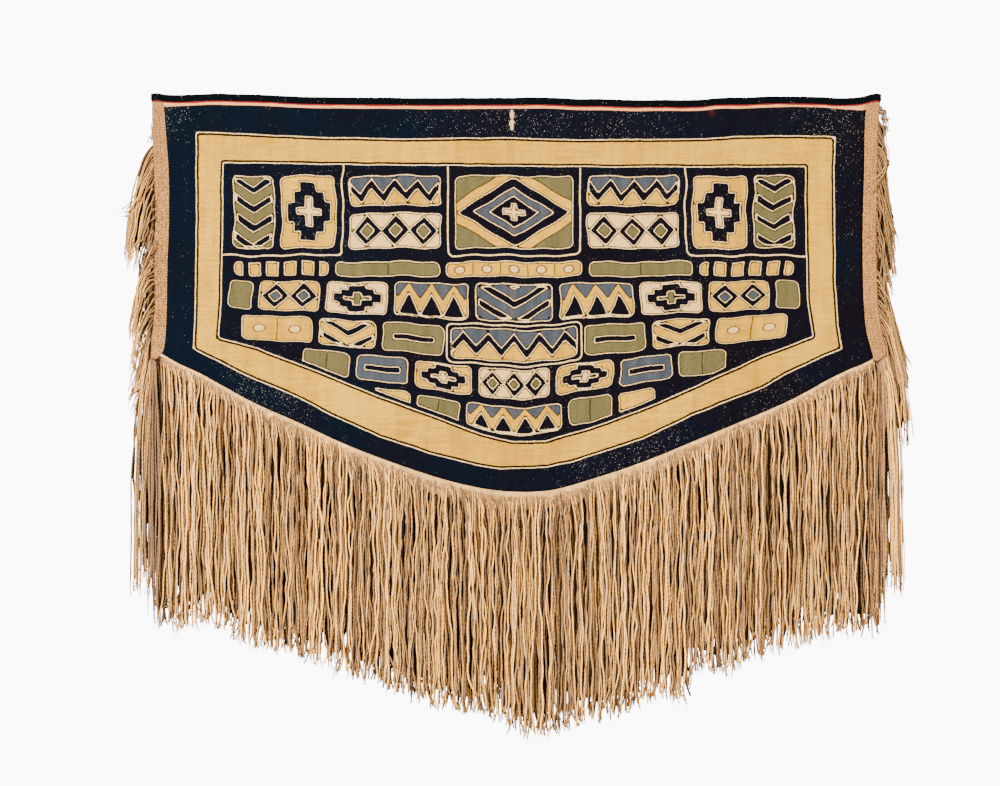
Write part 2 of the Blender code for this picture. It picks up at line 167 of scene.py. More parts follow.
# Lines that the weaver lays along every edge of black, and how soft their edges are
WHITE_LINE = 0.0020
DARK_LINE = 0.0019
EDGE_WHITE_MORE = 0.0005
EDGE_DARK_MORE = 0.0026
INNER_LINE = 0.0013
FRAME_LINE = 0.0016
SOFT_EDGE = 0.0007
FAR = 0.03

# The field's motifs, mirrored about its middle: a kind, a colour, how far across
# from the middle, the height, and the width and height of the compartment
MIDDLE_X = -0.004
MOTIFS = named(
    "kind colour across up wide high",
    ("lozenge", "yellow", 0, -0.250, 0.260, 0.160),
    ("zigzag", "yellow", 0.261, -0.203, 0.202, 0.066),
    ("lozenges", "cream", 0.261, -0.291, 0.202, 0.078),
    ("stepped", "yellow", 0.452, -0.250, 0.120, 0.160),
    ("chevrons", "green", 0.572, -0.250, 0.090, 0.160),
    ("discs", "yellow", 0, -0.376, 0.300, 0.034),
    ("plain", "green", 0.280, -0.376, 0.230, 0.034),
    ("posts", "yellow", 0.513, -0.376, 0.206, 0.034),
    ("chevrons", "blue", 0, -0.450, 0.170, 0.084),
    ("triangles", "yellow", 0.181, -0.450, 0.162, 0.084),
    ("stepped", "cream", 0.345, -0.450, 0.135, 0.084),
    ("lozenges", "yellow", 0.494, -0.450, 0.133, 0.084),
    ("plain", "green", 0.601, -0.450, 0.052, 0.084),
    ("zigzag", "yellow", 0, -0.545, 0.280, 0.072),
    ("bars", "green", 0.223, -0.545, 0.135, 0.072),
    ("chevrons", "yellow", 0.368, -0.545, 0.125, 0.072),
    ("discs", "yellow", 0.523, -0.545, 0.155, 0.072),
    ("lozenges", "cream", 0, -0.630, 0.156, 0.066),
    ("stepped", "yellow", 0.155, -0.630, 0.124, 0.066),
    ("bars", "blue", 0.289, -0.630, 0.114, 0.066),
    ("plain", "green", 0.413, -0.630, 0.104, 0.066),
    ("triangles", "yellow", 0, -0.711, 0.210, 0.062),
    ("plain", "green", 0.168, -0.711, 0.096, 0.062),
    ("plain", "yellow", 0.272, -0.711, 0.082, 0.062),
)
PANEL_ROUND = 0.012
FIELD_MARGIN = 0.009
SECOND = {"yellow": "blue", "cream": "green", "green": "cream", "blue": "cream"}

# White frames drawn on the black between the compartments
FRAMES = named(
    "across up wide high",
    (0, -0.222, 0.290, 0.247),
    (0.560, -0.222, 0.366, 0.247),
    (0, -0.545, 0.296, 0.089),
)

# The rows below this depth lift outwards, as the lower edge does
LIFT_FROM = 0.380
LIFT_OVER = 0.350
LIFT_SLOPE = 0.230
LIFT_SOFT = 0.050

# Worn places, where the bare cream warp shows through the dark wool
WORN = named(
    "x z reach strength",
    (-0.755, -0.035, 0.045, 0.75), (-0.640, -0.050, 0.090, 0.05), (0.000, -0.050, 0.110, 0.55),
    (-0.180, -0.045, 0.080, 0.25), (0.240, -0.045, 0.120, 0.45), (0.700, -0.045, 0.100, 0.62),
    (0.745, -0.160, 0.070, 0.12), (0.745, -0.300, 0.090, 0.16), (-0.500, -0.650, 0.080, 0.60),
    (-0.590, -0.610, 0.060, 0.65), (0.180, -0.820, 0.090, 0.40), (0.300, -0.780, 0.080, 0.55),
    (0.560, -0.660, 0.110, 0.35), (-0.420, -0.250, 0.130, 0.30), (0.420, -0.300, 0.130, 0.35),
    (0.000, -0.600, 0.130, 0.25),
)

# Repeats of the weave, of the plait and of the yarns' plies
STITCH_WIDE = 0.0042
STITCH_HIGH = 0.0026
PLAIT_HIGH = 0.0060
PLAIT_FINE = 0.0023
PLY_HIGH = 0.0105
LOBE_HIGH = 0.034

# Colours, as linear light
BLACK = (0.0028, 0.0058, 0.0117)
BLACK_BROWN = (0.0060, 0.0041, 0.0066)
BLACK_FADED = (0.0080, 0.0110, 0.0160)
BLACK_DEEP = (0.0018, 0.0022, 0.0036)
CREAM_LINE = (0.86, 0.56, 0.22)
DARK_THREAD = (0.0120, 0.0050, 0.0030)
YELLOW_PALE = (0.74, 0.380, 0.034)
YELLOW_DEEP = (0.50, 0.235, 0.013)
YELLOW_AGED_AND_CREASE_SHADE = (0.40, 0.150, 0.025)
CREAM = (0.82, 0.470, 0.160)
BARE_WARP = (0.70, 0.46, 0.20)
STAIN = (0.10, 0.014, 0.010)
BLUE = (0.040, 0.046, 0.055)
BLUE_PALE = (0.072, 0.076, 0.080)
GREEN = (0.102, 0.082, 0.029)
GREEN_PALE = (0.145, 0.112, 0.042)
SELVEDGE_ROW = (0.88, 0.350, 0.110)
SPECK = (0.72, 0.60, 0.45)
HEADING_BLACK = (0.0010, 0.0019, 0.0024)
HEADING_WORN = (0.0022, 0.0026, 0.0032)
RED_DEEP = (0.125, 0.003, 0.005)
RED_FADED = (0.240, 0.018, 0.017)
STRIP_TAN = (0.31, 0.126, 0.031)
STRIP_PALE = (0.58, 0.270, 0.078)
STRIP_BROWN = (0.145, 0.056, 0.018)
YARN_TAN = (0.275, 0.132, 0.050)
YARN_PALE = (1.00, 0.490, 0.116)
YARN_BROWN = (0.108, 0.060, 0.036)
YARN_BLOND = (0.62, 0.320, 0.072)
ROOT_EDGE = (0.80, 0.440, 0.140)
FLOOR_PALE = (0.72, 0.72, 0.72)
FLOOR_PALER = (0.83, 0.83, 0.84)


def column(table, key, name):
    """One column of a table as a smooth function of its key, for single numbers or arrays."""
    rows = sorted(table, key=lambda row: getattr(row, key))
    keys = np.array([getattr(row, key) for row in rows])
    values = np.array([getattr(row, name) for row in rows])
    slopes = np.gradient(values, keys)

    def at(x):
        x = np.clip(x, keys[0], keys[-1])
        i = np.clip(np.searchsorted(keys, x, side="right") - 1, 0, len(keys) - 2)
        width = keys[i + 1] - keys[i]
        t = (x - keys[i]) / width
        start = (1 + 2 * t) * (1 - t) ** 2 * values[i] + t * (1 - t) ** 2 * width * slopes[i]
        end = t * t * (3 - 2 * t) * values[i + 1] + t * t * (t - 1) * width * slopes[i + 1]
        return start + end

    return at


top_rise = column(TOP_LINE, "x", "rise")
lower_z = column(LOWER_LINE, "x", "z")
body_left = column(SIDE_LINES, "z", "body_left")
body_right = column(SIDE_LINES, "z", "body_right")
strip_left = column(SIDE_LINES, "z", "strip_left")
strip_right = column(SIDE_LINES, "z", "strip_right")


def tip_z(x):
    """How low the bottom fringe reaches, straight from row to row."""
    return np.interp(x, [row.x for row in TIP_LINE], [row.z for row in TIP_LINE])


def relief(x, z):
    """Depth of the cloth's middle surface, from its folds and its middle crease."""
    down = np.clip(-z / FOLD_DROP, 0.0, 1.0)
    depth = 0.0 * x * z
    for fold in FOLDS:
        height = fold.top_depth + (fold.low_depth - fold.top_depth) * down
        depth = depth + height * np.exp(-(((x - fold.x) / fold.width) ** 2))
    crease = np.maximum(0.0, 1.0 - np.abs(x - CREASE_X) / CREASE_HALF_WIDTH)
    return depth + CREASE_DEPTH * crease


# Shader writing

def operation(name):
    """A method that adds one Math node."""
    return lambda self, *others: self.maths(name, *others)


class Amount:
    """A number in a material: sums on it add Math nodes to the material's tree."""

    def __init__(self, finish, socket):
        self.finish = finish
        self.socket = socket

    def maths(self, name, *others):
        inputs = dict(enumerate((self, *others)))
        return self.finish.amount("ShaderNodeMath", {"operation": name}, inputs)

    __add__ = __radd__ = operation("ADD")
    __sub__ = operation("SUBTRACT")
    __mul__ = __rmul__ = operation("MULTIPLY")
    __truediv__ = operation("DIVIDE")
    __abs__ = operation("ABSOLUTE")
    sine = operation("SINE")
    least = operation("MINIMUM")
    power = operation("POWER")

    def __rsub__(self, other):
        return self * -1.0 + other

    def clamped(self):
        self.socket.node.use_clamp = True
        return self

    def within(self):
        """The same number, held between 0 and 1."""
        return (self * 1.0).clamped()

    def below(self, level=0.0, soft=SOFT_EDGE):
        """1 where the number is under the level, 0 over it, with a soft step."""
        return ((level - self) / soft + 0.5).clamped()


class Finish:
    """One material, with methods that add nodes to its tree."""

    def __init__(self, name, slot, **shader):
        self.slot = slot
        self.material = bpy.data.materials.new(name)
        self.material.use_nodes = True
        self.tree = self.material.node_tree
        self.shader = self.tree.nodes["Principled BSDF"]
        for name, value in shader.items():
            self.shader.inputs[name.replace("_", " ")].default_value = value

    def join(self, socket, value):
        if isinstance(value, Amount):
            self.tree.links.new(value.socket, socket)
        elif isinstance(value, bpy.types.NodeSocket):
            self.tree.links.new(value, socket)
        elif isinstance(value, tuple) and len(value) == 3 and socket.type == "RGBA":
            socket.default_value = (*value, 1.0)
        else:
            socket.default_value = value

    def node(self, kind, settings, inputs):
        made = self.tree.nodes.new(kind)
        for name, value in settings.items():
            setattr(made, name, value)
        for name, value in inputs.items():
            self.join(made.inputs[name], value)
        return made

    def amount(self, kind, settings, inputs, output=0):
        return Amount(self, self.node(kind, settings, inputs).outputs[output])

    def stored(self, name):
        """A number stored on the mesh's points."""
        return self.amount("ShaderNodeAttribute", {"attribute_name": name}, {}, "Fac")

    def places(self):
        """The point's own place in the frame, in metres, as a vector and as x, y and z."""
        place = self.node("ShaderNodeTexCoord", {}, {}).outputs["Object"]
        split = self.node("ShaderNodeSeparateXYZ", {}, {0: place})
        return [place] + [Amount(self, socket) for socket in split.outputs]

    def stretched(self, place, stretch):
        settings = {"operation": "MULTIPLY"}
        return self.node("ShaderNodeVectorMath", settings, {0: place, 1: stretch}).outputs[0]

    def vector(self, x, y, z):
        return self.node("ShaderNodeCombineXYZ", {}, {0: x, 1: y, 2: z}).outputs[0]

    def noise(self, place, scale, detail=2.0, stretch=None):
        if stretch:
            place = self.stretched(place, stretch)
        inputs = {"Vector": place, "Scale": scale, "Detail": detail}
        return self.amount("ShaderNodeTexNoise", {}, inputs, "Fac")

    def cells(self, place, scale):
        """Small cells: how far a point is from its cell's middle, and the cell's own lot."""
        made = self.node("ShaderNodeTexVoronoi", {"feature": "F1"}, {"Vector": place, "Scale": scale})
        split = self.node("ShaderNodeSeparateXYZ", {}, {0: made.outputs["Color"]})
        return Amount(self, made.outputs["Distance"]), Amount(self, split.outputs[0])

    def mix(self, share, first, second, blend="MIX"):
        settings = {"data_type": "RGBA", "blend_type": blend}
        return self.node("ShaderNodeMix", settings, {0: share, 6: first, 7: second}).outputs[2]

    def ramp(self, share, dark, middle, pale):
        """A colour from dark through middle to pale as the share goes from 0 to 1."""
        low = self.mix((share * 2.0).within(), dark, middle)
        return self.mix((share * 2.0 - 1.0).within(), low, pale)

    def colour(self, value):
        self.join(self.shader.inputs["Base Color"], value)

    def bump(self, height, distance):
        made = self.node("ShaderNodeBump", {}, {"Height": height, "Distance": distance, "Strength": 1.0})
        self.join(self.shader.inputs["Normal"], made.outputs[0])


def weave_finish():
    """Twined wool: the woven colours and lines, wear down to the warp, and the stitches."""
    weave = Finish("twined_wool", "wool_weave", Roughness=0.95, Specular_IOR_Level=0.0)
    place, x, _, z = weave.places()
    ragged = weave.noise(place, 240.0, 1.0, (1.0, 1.0, 1.4))
    slow = weave.noise(place, 16.0, stretch=(1.0, 0.2, 1.0))
    wander = (ragged - 0.5) * 0.0022 + (slow - 0.5) * 0.0046
    names = ("black", "cream", "blue", "green", "thread", "frame_line")
    black, cream, blue, green, thread, frame_line = (weave.stored(name) + wander for name in names)

    # Dye that took unevenly, in upright streaks and across the rows
    streak = weave.noise(place, 60.0, 3.0, (1.0, 0.2, 0.12))
    rows = weave.noise(place, 150.0, stretch=(0.10, 0.2, 1.0))
    cloud = weave.noise(place, 7.0, 3.0)
    uneven = (streak - 0.5) * 1.3 + (rows - 0.5) * 1.5 + (cloud - 0.5) * 1.4
    grain = weave.noise(place, 300.0, 1.0, (1.0, 0.3, 1.5))
    wool = weave.mix((uneven + 0.5).within(), YELLOW_PALE, YELLOW_DEEP)
    streaky = (streak * 2.2 - 0.6).within()
    wool = weave.mix(cream.below(), wool, CREAM)
    wool = weave.mix(blue.below(), wool, weave.mix(streaky, BLUE, BLUE_PALE))
    wool = weave.mix(green.below(), wool, weave.mix(streaky, GREEN, GREEN_PALE))
    fine = abs(cream).least(abs(blue)).least(abs(green)).least(abs(thread)).below(INNER_LINE)
    wool = weave.mix(fine * 0.85, wool, DARK_THREAD)
    # Aged yellow at a faded spot, and painted shade along the middle crease
    wool = weave.mix(weave.stored("aged").within() * 0.5, wool, YELLOW_AGED_AND_CREASE_SHADE)

    # The light and the dark line along the black
    edge = weave.stored("edge")
    white = edge * EDGE_WHITE_MORE + WHITE_LINE
    ring = edge * EDGE_DARK_MORE + white + DARK_LINE
    wool = weave.mix((black - ring).below(), wool, DARK_THREAD)
    wool = weave.mix((black - white).below(), wool, CREAM_LINE)

    # Bare warp ends through the dark wool
    worn = weave.stored("worn")
    patches = weave.noise(place, 38.0)
    chance = worn * 0.26 + (patches - 0.5) * 0.26
    off, lot = weave.cells(weave.stretched(place, (1.0, 0.25, 1.0)), 490.0)
    dot = ((0.37 - off) * 4.0).within()
    speck = dot * ((lot + chance - 0.975) * 9.0).within()
    brown = cloud * 2.4 - 0.25 + (rows - 0.5) * 1.4 - edge * 0.55 + x * 0.60
    tint = weave.mix(brown.within(), BLACK, BLACK_BROWN)
    tint = weave.mix((worn * 0.20 + (streak - 0.5) * 0.8).within(), tint, BLACK_FADED)
    tint = weave.mix((grain * 1.6 - 0.3).within() * 0.45, tint, BLACK_DEEP)
    tint = weave.mix(abs(frame_line).below(FRAME_LINE), tint, CREAM_LINE)
    tint = weave.mix(speck * 0.95, tint, SPECK)
    wool = weave.mix(black.below(), wool, tint)
    tear = weave.noise(place, 170.0, stretch=(1.0, 0.0, 0.6))
    patch = weave.stored("bare") * ((tear - 0.5) * 4.5 + 0.75)
    wool = weave.mix((patch * 3.0 - 0.6).within(), wool, BARE_WARP)
    wool = weave.mix(weave.stored("stain").within(), wool, STAIN)

    # The undyed row under the heading
    row = weave.stored("row") + wander * 0.5
    wool = weave.mix(row.below(), wool, SELVEDGE_ROW)
    wool = weave.mix(weave.stored("mark").within(), wool, DARK_THREAD)
    shade = 0.75 + (grain - 0.5) * 0.66 + (ragged - 0.5) * 0.30
    weave.colour(weave.mix(1.0, wool, weave.vector(shade, shade, shade), "MULTIPLY"))

    # Twining: rows of slanted stitches over upright warps
    across = x * (TURN / STITCH_WIDE)
    down = z * (TURN / STITCH_HIGH)
    stitch = (across + down * 0.5).sine() * 0.5 + down.sine() * 0.5
    ridge = black.below(WHITE_LINE + 0.0006, 0.0012) * (1 - black.below(-0.0006, 0.0012))
    weave.bump(stitch * 0.55 + grain * 1.3 + ridge * 1.6 + slow * 0.5, 0.0009)
    return weave


def heading_finish():
    """Worn black wool cloth with a short nap and pale threads where it has rubbed."""
    cloth = Finish("black_wool_cloth", "heading_cloth", Roughness=0.95, Specular_IOR_Level=0.0)
    place = cloth.places()[0]
    nap = cloth.noise(place, 900.0)
    cloud = cloth.noise(place, 30.0, 3.0)
    worn = cloth.noise(place, 320.0, 1.0, (1.0, 1.0, 0.8)).below(0.25, 0.03)
    cloth.colour(cloth.mix(worn * 0.22, cloth.mix(cloud, HEADING_BLACK, HEADING_WORN), SPECK))
    cloth.bump(nap + cloud * 1.5, 0.0010)
    return cloth


def edging_finish():
    cloth = Finish("red_wool_cloth", "red_cloth", Roughness=0.95, Specular_IOR_Level=0.05)
    place = cloth.places()[0]
    cloth.colour(cloth.mix(cloth.noise(place, 25.0, 3.0), RED_DEEP, RED_FADED))
    cloth.bump(cloth.noise(place, 700.0), 0.0006)
    return cloth


def strip_finish():
    """Plaited undyed yarn: slanting stitches that turn at each plait, and brown flecks."""
    strip = Finish("plaited_yarn", "strip_yarn", Roughness=0.95, Specular_IOR_Level=0.06)
    place, x, _, z = strip.places()
    across = strip.stored("across")
    turn = abs((across * (TURN * 2.0)).sine())
    ply = (across * (TURN * 4.0)).sine()
    slant = (z * (TURN / PLAIT_HIGH) + turn * 3.2).sine()
    fine = (z * (TURN / PLAIT_FINE) - turn * 5.0).sine()
    fleck = strip.noise(place, 560.0, 1.0, (1.0, 0.3, 0.6))
    cloud = strip.noise(place, 22.0, 3.0)
    share = slant * 0.10 + fine * 0.05 + ply * 0.07 + (fleck - 0.5) * 4.2 + (cloud - 0.5) * 0.9
    tan = strip.mix((share + x * 0.08 + 0.60).within(), STRIP_BROWN, STRIP_PALE)
    strip.colour(strip.mix(0.12, tan, STRIP_TAN))
    strip.bump(slant * 0.7 + fine * 0.4 + fleck * 1.4, 0.0012)
    return strip


def yarn_finish(name, painted_shade_scale):
    """Two-ply undyed yarn: each yarn its own shade, its plies winding round each other, with painted shade
    along its sides and, in the darker copies, painted shade over all of it.
    """
    yarn = Finish(name, "fringe_yarn", Roughness=0.95, Specular_IOR_Level=0.04)
    place = yarn.places()[0]
    shade, along, cosine, sine = map(yarn.stored, ("shade", "along", "round_x", "round_y"))
    turn = along * (TURN / PLY_HIGH)
    double_cosine = cosine * cosine - sine * sine
    double_sine = cosine * sine * 2.0
    ply = turn.sine() * double_cosine + (turn + math.pi / 2).sine() * double_sine
    fleck = yarn.noise(place, 330.0, stretch=(1.0, 1.0, 0.35))
    cloud = yarn.noise(place, 26.0, stretch=(1.0, 1.0, 0.25))
    # Painted shade: each yarn darker along its sides, so that neighbours part with a dark line
    painted_edge_shade = abs(cosine).power(3.0)
    share = shade * 1.12 + (fleck - 0.5) * 0.6 + (cloud - 0.5) * 0.4 + ply * 0.08 + 0.10 - painted_edge_shade * 0.82
    # A scale under 1 gives darker copies of this finish: painted shade for the yarns deeper in
    brown, tan, pale, blond = (
        tuple(value * painted_shade_scale for value in colour) for colour in (YARN_BROWN, YARN_TAN, YARN_PALE, YARN_BLOND)
    )
    yarn.colour(yarn.mix(yarn.stored("blond").within() * 0.7, yarn.ramp(share, brown, tan, pale), blond))
    yarn.bump(ply * 0.5 + fleck * 0.8, 0.0010)
    return yarn


def root_finish():
    """The fringe's root strip: packed slanting fibres with a pale smooth edge on top."""
    root = Finish("root_fibres", "fringe_yarn", Roughness=0.95, Specular_IOR_Level=0.06)
    place, x, y, z = root.places()
    lean = root.noise(place, 16.0)
    upright = root.vector(x + z * ((lean - 0.5) * 2.4), y, z * 0.10)
    fibres = root.noise(upright, 420.0)
    locks = root.noise(upright, 120.0)
    cloud = root.noise(place, 30.0)
    below = root.stored("below")
    share = (fibres - 0.5) * 1.8 + (locks - 0.5) * 1.8 + (cloud - 0.5) * 0.5 + 0.82 - below * 0.52
    tone = root.ramp(share, YARN_BROWN, YARN_TAN, YARN_PALE)
    edge = (below + (locks - 0.5) * 0.35).below(0.23, 0.12)
    root.colour(root.mix(edge * 0.85, tone, ROOT_EDGE))
    root.bump(fibres * 0.8 + locks * 1.6, 0.0022)
    return root


# Mesh making

def fast_mesh(name, points, quads, caps=(), stored=None):
    """A mesh from arrays: four-sided faces, then any faces of another even count."""
    mesh = bpy.data.meshes.new(name)
    corners = [quads.reshape(-1)]
    counts = [np.full(len(quads), 4, np.int32)]
    if len(caps):
        corners.append(caps.reshape(-1))
        counts.append(np.full(len(caps), caps.shape[1], np.int32))
    corners = np.concatenate(corners).astype(np.int32)
    counts = np.concatenate(counts)
    starts = np.concatenate(([0], np.cumsum(counts)[:-1])).astype(np.int32)
    mesh.vertices.add(len(points))
    mesh.vertices.foreach_set("co", points.astype(np.float32).reshape(-1))
    mesh.loops.add(len(corners))
    mesh.loops.foreach_set("vertex_index", corners)
    mesh.polygons.add(len(counts))
    mesh.polygons.foreach_set("loop_start", starts)
    mesh.polygons.foreach_set("use_smooth", np.full(len(counts), True))
    mesh.update(calc_edges=True)
    for key, values in (stored or {}).items():
        layer = mesh.attributes.new(key, "FLOAT", "POINT")
        layer.data.foreach_set("value", np.asarray(values, np.float32).reshape(-1))
    mesh.validate()
    return mesh


def show(name, mesh, finish, node):
    """Links a piece, gives it its finish, and hides the imported part of the node that it stands for."""
    piece = bpy.data.objects.new(name, mesh)
    bpy.context.scene.collection.objects.link(piece)
    mesh.materials.append(finish.material)
    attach(piece, "root")
    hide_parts(node)
    return piece


def show_sheet(name, places, quads, finish, node, thick, stored=None):
    """A solid sheet from its middle surface, given as arrays of x, y and z."""
    points = np.stack(places, axis=-1).reshape(-1, 3)
    piece = show(name, fast_mesh(name, points, quads, stored=stored), finish, node)
    solid = piece.modifiers.new("thickness", "SOLIDIFY")
    solid.thickness = thick
    solid.offset = 0.0
    return piece


def grid_quads(rows, columns):
    """Faces of a grid of points, stored row by row."""
    index = np.arange(rows * columns).reshape(rows, columns)
    corners = [index[:-1, 1:], index[1:, 1:], index[1:, :-1], index[:-1, :-1]]
    return np.stack(corners, axis=-1).reshape(-1, 4)


def spaced(stretches):
    """Shares from 0 to 1 through stretches of (end share, steps)."""
    shares = [0.0]
    for end, steps in stretches:
        start = shares[-1]
        shares.extend(start + (end - start) * (step + 1) / steps for step in range(steps))
    return np.array(shares)


# The pattern: signed distances, below 0 inside a colour

def box(x, z, wide, high, rounding=0.0):
    across = np.abs(x) - wide / 2 + rounding
    up = np.abs(z) - high / 2 + rounding
    outside = np.hypot(np.maximum(across, 0), np.maximum(up, 0))
    return outside + np.minimum(np.maximum(across, up), 0) - rounding


def diamond(x, z, wide, high):
    slope = math.hypot(2 / wide, 2 / high)
    return (np.abs(x) / (wide / 2) + np.abs(z) / (high / 2) - 1) / slope


def outline(x, z, points):
    """Signed distance to a closed outline of straight lines."""
    nearest = np.full(x.shape, 1e9)
    inside = np.zeros(x.shape, bool)
    for (ax, az), (bx, bz) in zip(points, points[1:] + points[:1]):
        ex, ez = bx - ax, bz - az
        share = np.clip(((x - ax) * ex + (z - az) * ez) / (ex * ex + ez * ez), 0, 1)
        nearest = np.minimum(nearest, np.hypot(x - ax - share * ex, z - az - share * ez))
        crosses = (az > z) != (bz > z)
        reach = ax + (z - az) * ex / np.where(ez == 0, 1e-9, ez)
        inside ^= crosses & (x < reach)
    return np.where(inside, -nearest, nearest)


def chain(side, pitch, count):
    """Distance across from the nearest of a row of equal steps."""
    start = -(count - 1) / 2 * pitch
    nearest = np.clip(np.round((side - start) / pitch), 0, count - 1)
    return side - start - nearest * pitch


class Pattern:
    """The cloth's colours, painted one over another; yellow is what no colour covers."""

    def __init__(self, x, z):
        self.middle = x - MIDDLE_X
        side = np.abs(self.middle)
        lift = np.clip((-z - LIFT_FROM) / LIFT_OVER, 0.0, 1.2)
        away = np.sqrt(side**2 + LIFT_SOFT**2) - LIFT_SOFT
        self.z = z - LIFT_SLOPE * lift * away + 0.0016 * np.sin(x * 31.0) + 0.0012 * np.sin(x * 83.0)
        self.side = side + 0.0018 * np.sin(z * 47.0 + 1.0) + 0.0012 * np.sin(z * 90.0 + x * 9.0)
        self.colours = {name: np.full(x.shape, 1.0) for name in ("black", "cream", "blue", "green")}
        self.thread = np.full(x.shape, 1.0)
        self.frame_line = np.full(x.shape, 1.0)

    def paint(self, colour, shape):
        for name, field in self.colours.items():
            mine = name == colour
            self.colours[name] = np.minimum(field, shape) if mine else np.maximum(field, -shape)

    def near(self, place):
        """Distances across and up from the middle of a compartment or a frame."""
        side = self.middle if place.across == 0 else self.side - place.across
        return side, self.z - place.up

    def frames(self):
        for place in FRAMES:
            shape = box(*self.near(place), place.wide, place.high, PANEL_ROUND)
            self.frame_line = np.minimum(self.frame_line, shape)

    def motif(self, m, clip):
        """One compartment: its ground, and the motif's marks in it."""
        side, over = self.near(m)
        ground = np.maximum(box(side, over, m.wide, m.high, PANEL_ROUND), clip)
        self.paint(m.colour, ground)
        getattr(self, "mark_" + m.kind)(m, ground, side, over)

    def mark_plain(self, m, ground, side, over):
        """A dark thread down the middle."""
        if m.wide > 0.09:
            self.thread = np.where(ground < -0.002, side, self.thread)

    def mark_lozenge(self, m, ground, side, over):
        """Nested lozenges round a small cross, with filled corners."""
        self.paint("green", np.maximum(-diamond(side, over, m.wide * 1.26, m.high * 1.26), ground))
        ring = diamond(side, over, m.wide * 0.94, m.high * 0.94)
        self.paint("black", np.maximum(ring, ground + 0.008))
        self.paint("blue", diamond(side, over, m.wide * 0.70, m.high * 0.68))
        self.paint("black", diamond(side, over, m.wide * 0.40, m.high * 0.42))
        upright = box(side, over, 0.014, m.high * 0.24)
        self.paint("cream", np.minimum(upright, box(side, over, m.wide * 0.20, 0.014)))

    def mark_lozenges(self, m, ground, side, over):
        """A chain of lozenges, each with a black edge."""
        count = max(2, round(m.wide / (m.high * 0.90)))
        pitch = m.wide * 0.92 / count
        local = chain(side, pitch, count)
        outer = diamond(local, over, pitch * 0.96, m.high * 0.82)
        self.paint("black", np.maximum(outer, ground + 0.006))
        self.paint(SECOND[m.colour], diamond(local, over, pitch * 0.56, m.high * 0.46))

    def mark_stepped(self, m, ground, side, over):
        """A stepped black cross with a smaller pale cross inside."""
        shape = np.full(side.shape, 1.0)
        for wide, high in ((0.78, 0.26), (0.54, 0.54), (0.28, 0.80)):
            shape = np.minimum(shape, box(side, over, m.wide * wide, m.high * high))
        self.paint("black", shape)
        level = box(side, over, m.wide * 0.46, max(0.010, m.high * 0.10))
        upright = box(side, over, max(0.010, m.wide * 0.14), m.high * 0.42)
        self.paint("cream" if m.colour == "yellow" else "green", np.minimum(level, upright))

    def mark_chevrons(self, m, ground, side, over):
        """Black chevrons, one above another."""
        slope = 0.60
        pitch = 0.042
        level = over - slope * (np.abs(side) - m.wide / 4)
        repeat = np.abs((level / pitch) % 1.0 - 0.5) * pitch
        self.paint("black", np.maximum((repeat - 0.0068) / math.hypot(1.0, slope), ground + 0.008))

    def mark_zigzag(self, m, ground, side, over):
        """A black zigzag with another colour above it."""
        pitch = m.wide / max(2, round(m.wide / 0.052))
        reach = m.high * 0.24
        wave = (np.abs((side / pitch) % 1.0 - 0.5) * 4 - 1) * reach
        lean = math.hypot(1.0, reach * 4 / pitch)
        self.paint(SECOND[m.colour], np.maximum((wave - over) / lean, ground))
        self.paint("black", np.maximum((np.abs(over - wave) - 0.0085) / lean, ground + 0.005))

    def mark_triangles(self, m, ground, side, over):
        """Black triangles along the lower side, another colour's along the upper."""
        count = max(2, round(m.wide / 0.055))
        pitch = m.wide * 0.92 / count
        high = m.high * 0.66
        foot = over + m.high / 2
        lean = math.hypot(2 / pitch, 1 / high)
        rising = (np.abs(chain(side, pitch, count)) * 2 / pitch + foot / high - 1) / lean
        self.paint("black", np.maximum(rising, ground + 0.006))
        between = np.abs(chain(side, pitch, count + 1))
        falling = (between * 2 / pitch + (m.high - foot) / (high * 0.7) - 1) / lean
        self.paint(SECOND[m.colour], np.maximum(falling, ground))

    def mark_bars(self, m, ground, side, over):
        """Level black bars."""
        count = max(1, int(m.high / 0.046))
        pitch = m.high / count
        for step in range(count):
            bar = box(side, over - (pitch * (step + 0.5) - m.high / 2), m.wide * 0.66, 0.012)
            self.paint("black", np.maximum(bar, ground + 0.006))

    def mark_posts(self, m, ground, side, over):
        """Upright black bars."""
        count = max(2, round(m.wide / 0.040))
        post = box(chain(side, m.wide * 0.94 / count, count), over, 0.012, m.high * 2)
        self.paint("black", np.maximum(post, ground - 0.004))

    def mark_discs(self, m, ground, side, over):
        """A row of small undyed discs."""
        count = max(2, round(m.wide / 0.062))
        pitch = m.wide / count
        disc = np.hypot(chain(side, pitch, count) * 0.8, over) - min(0.0105, m.high * 0.26)
        self.paint("cream", np.maximum(disc, ground))
        self.thread = np.where(ground < -0.002, chain(side, pitch, count + 1), self.thread)


def spot(x, z, at_x, at_z, wide, high, power=2):
    """1 in the middle of a small place and 0 away from it."""
    return np.exp(-(((x - at_x) / wide) ** 2) - ((z - at_z) / high) ** power)


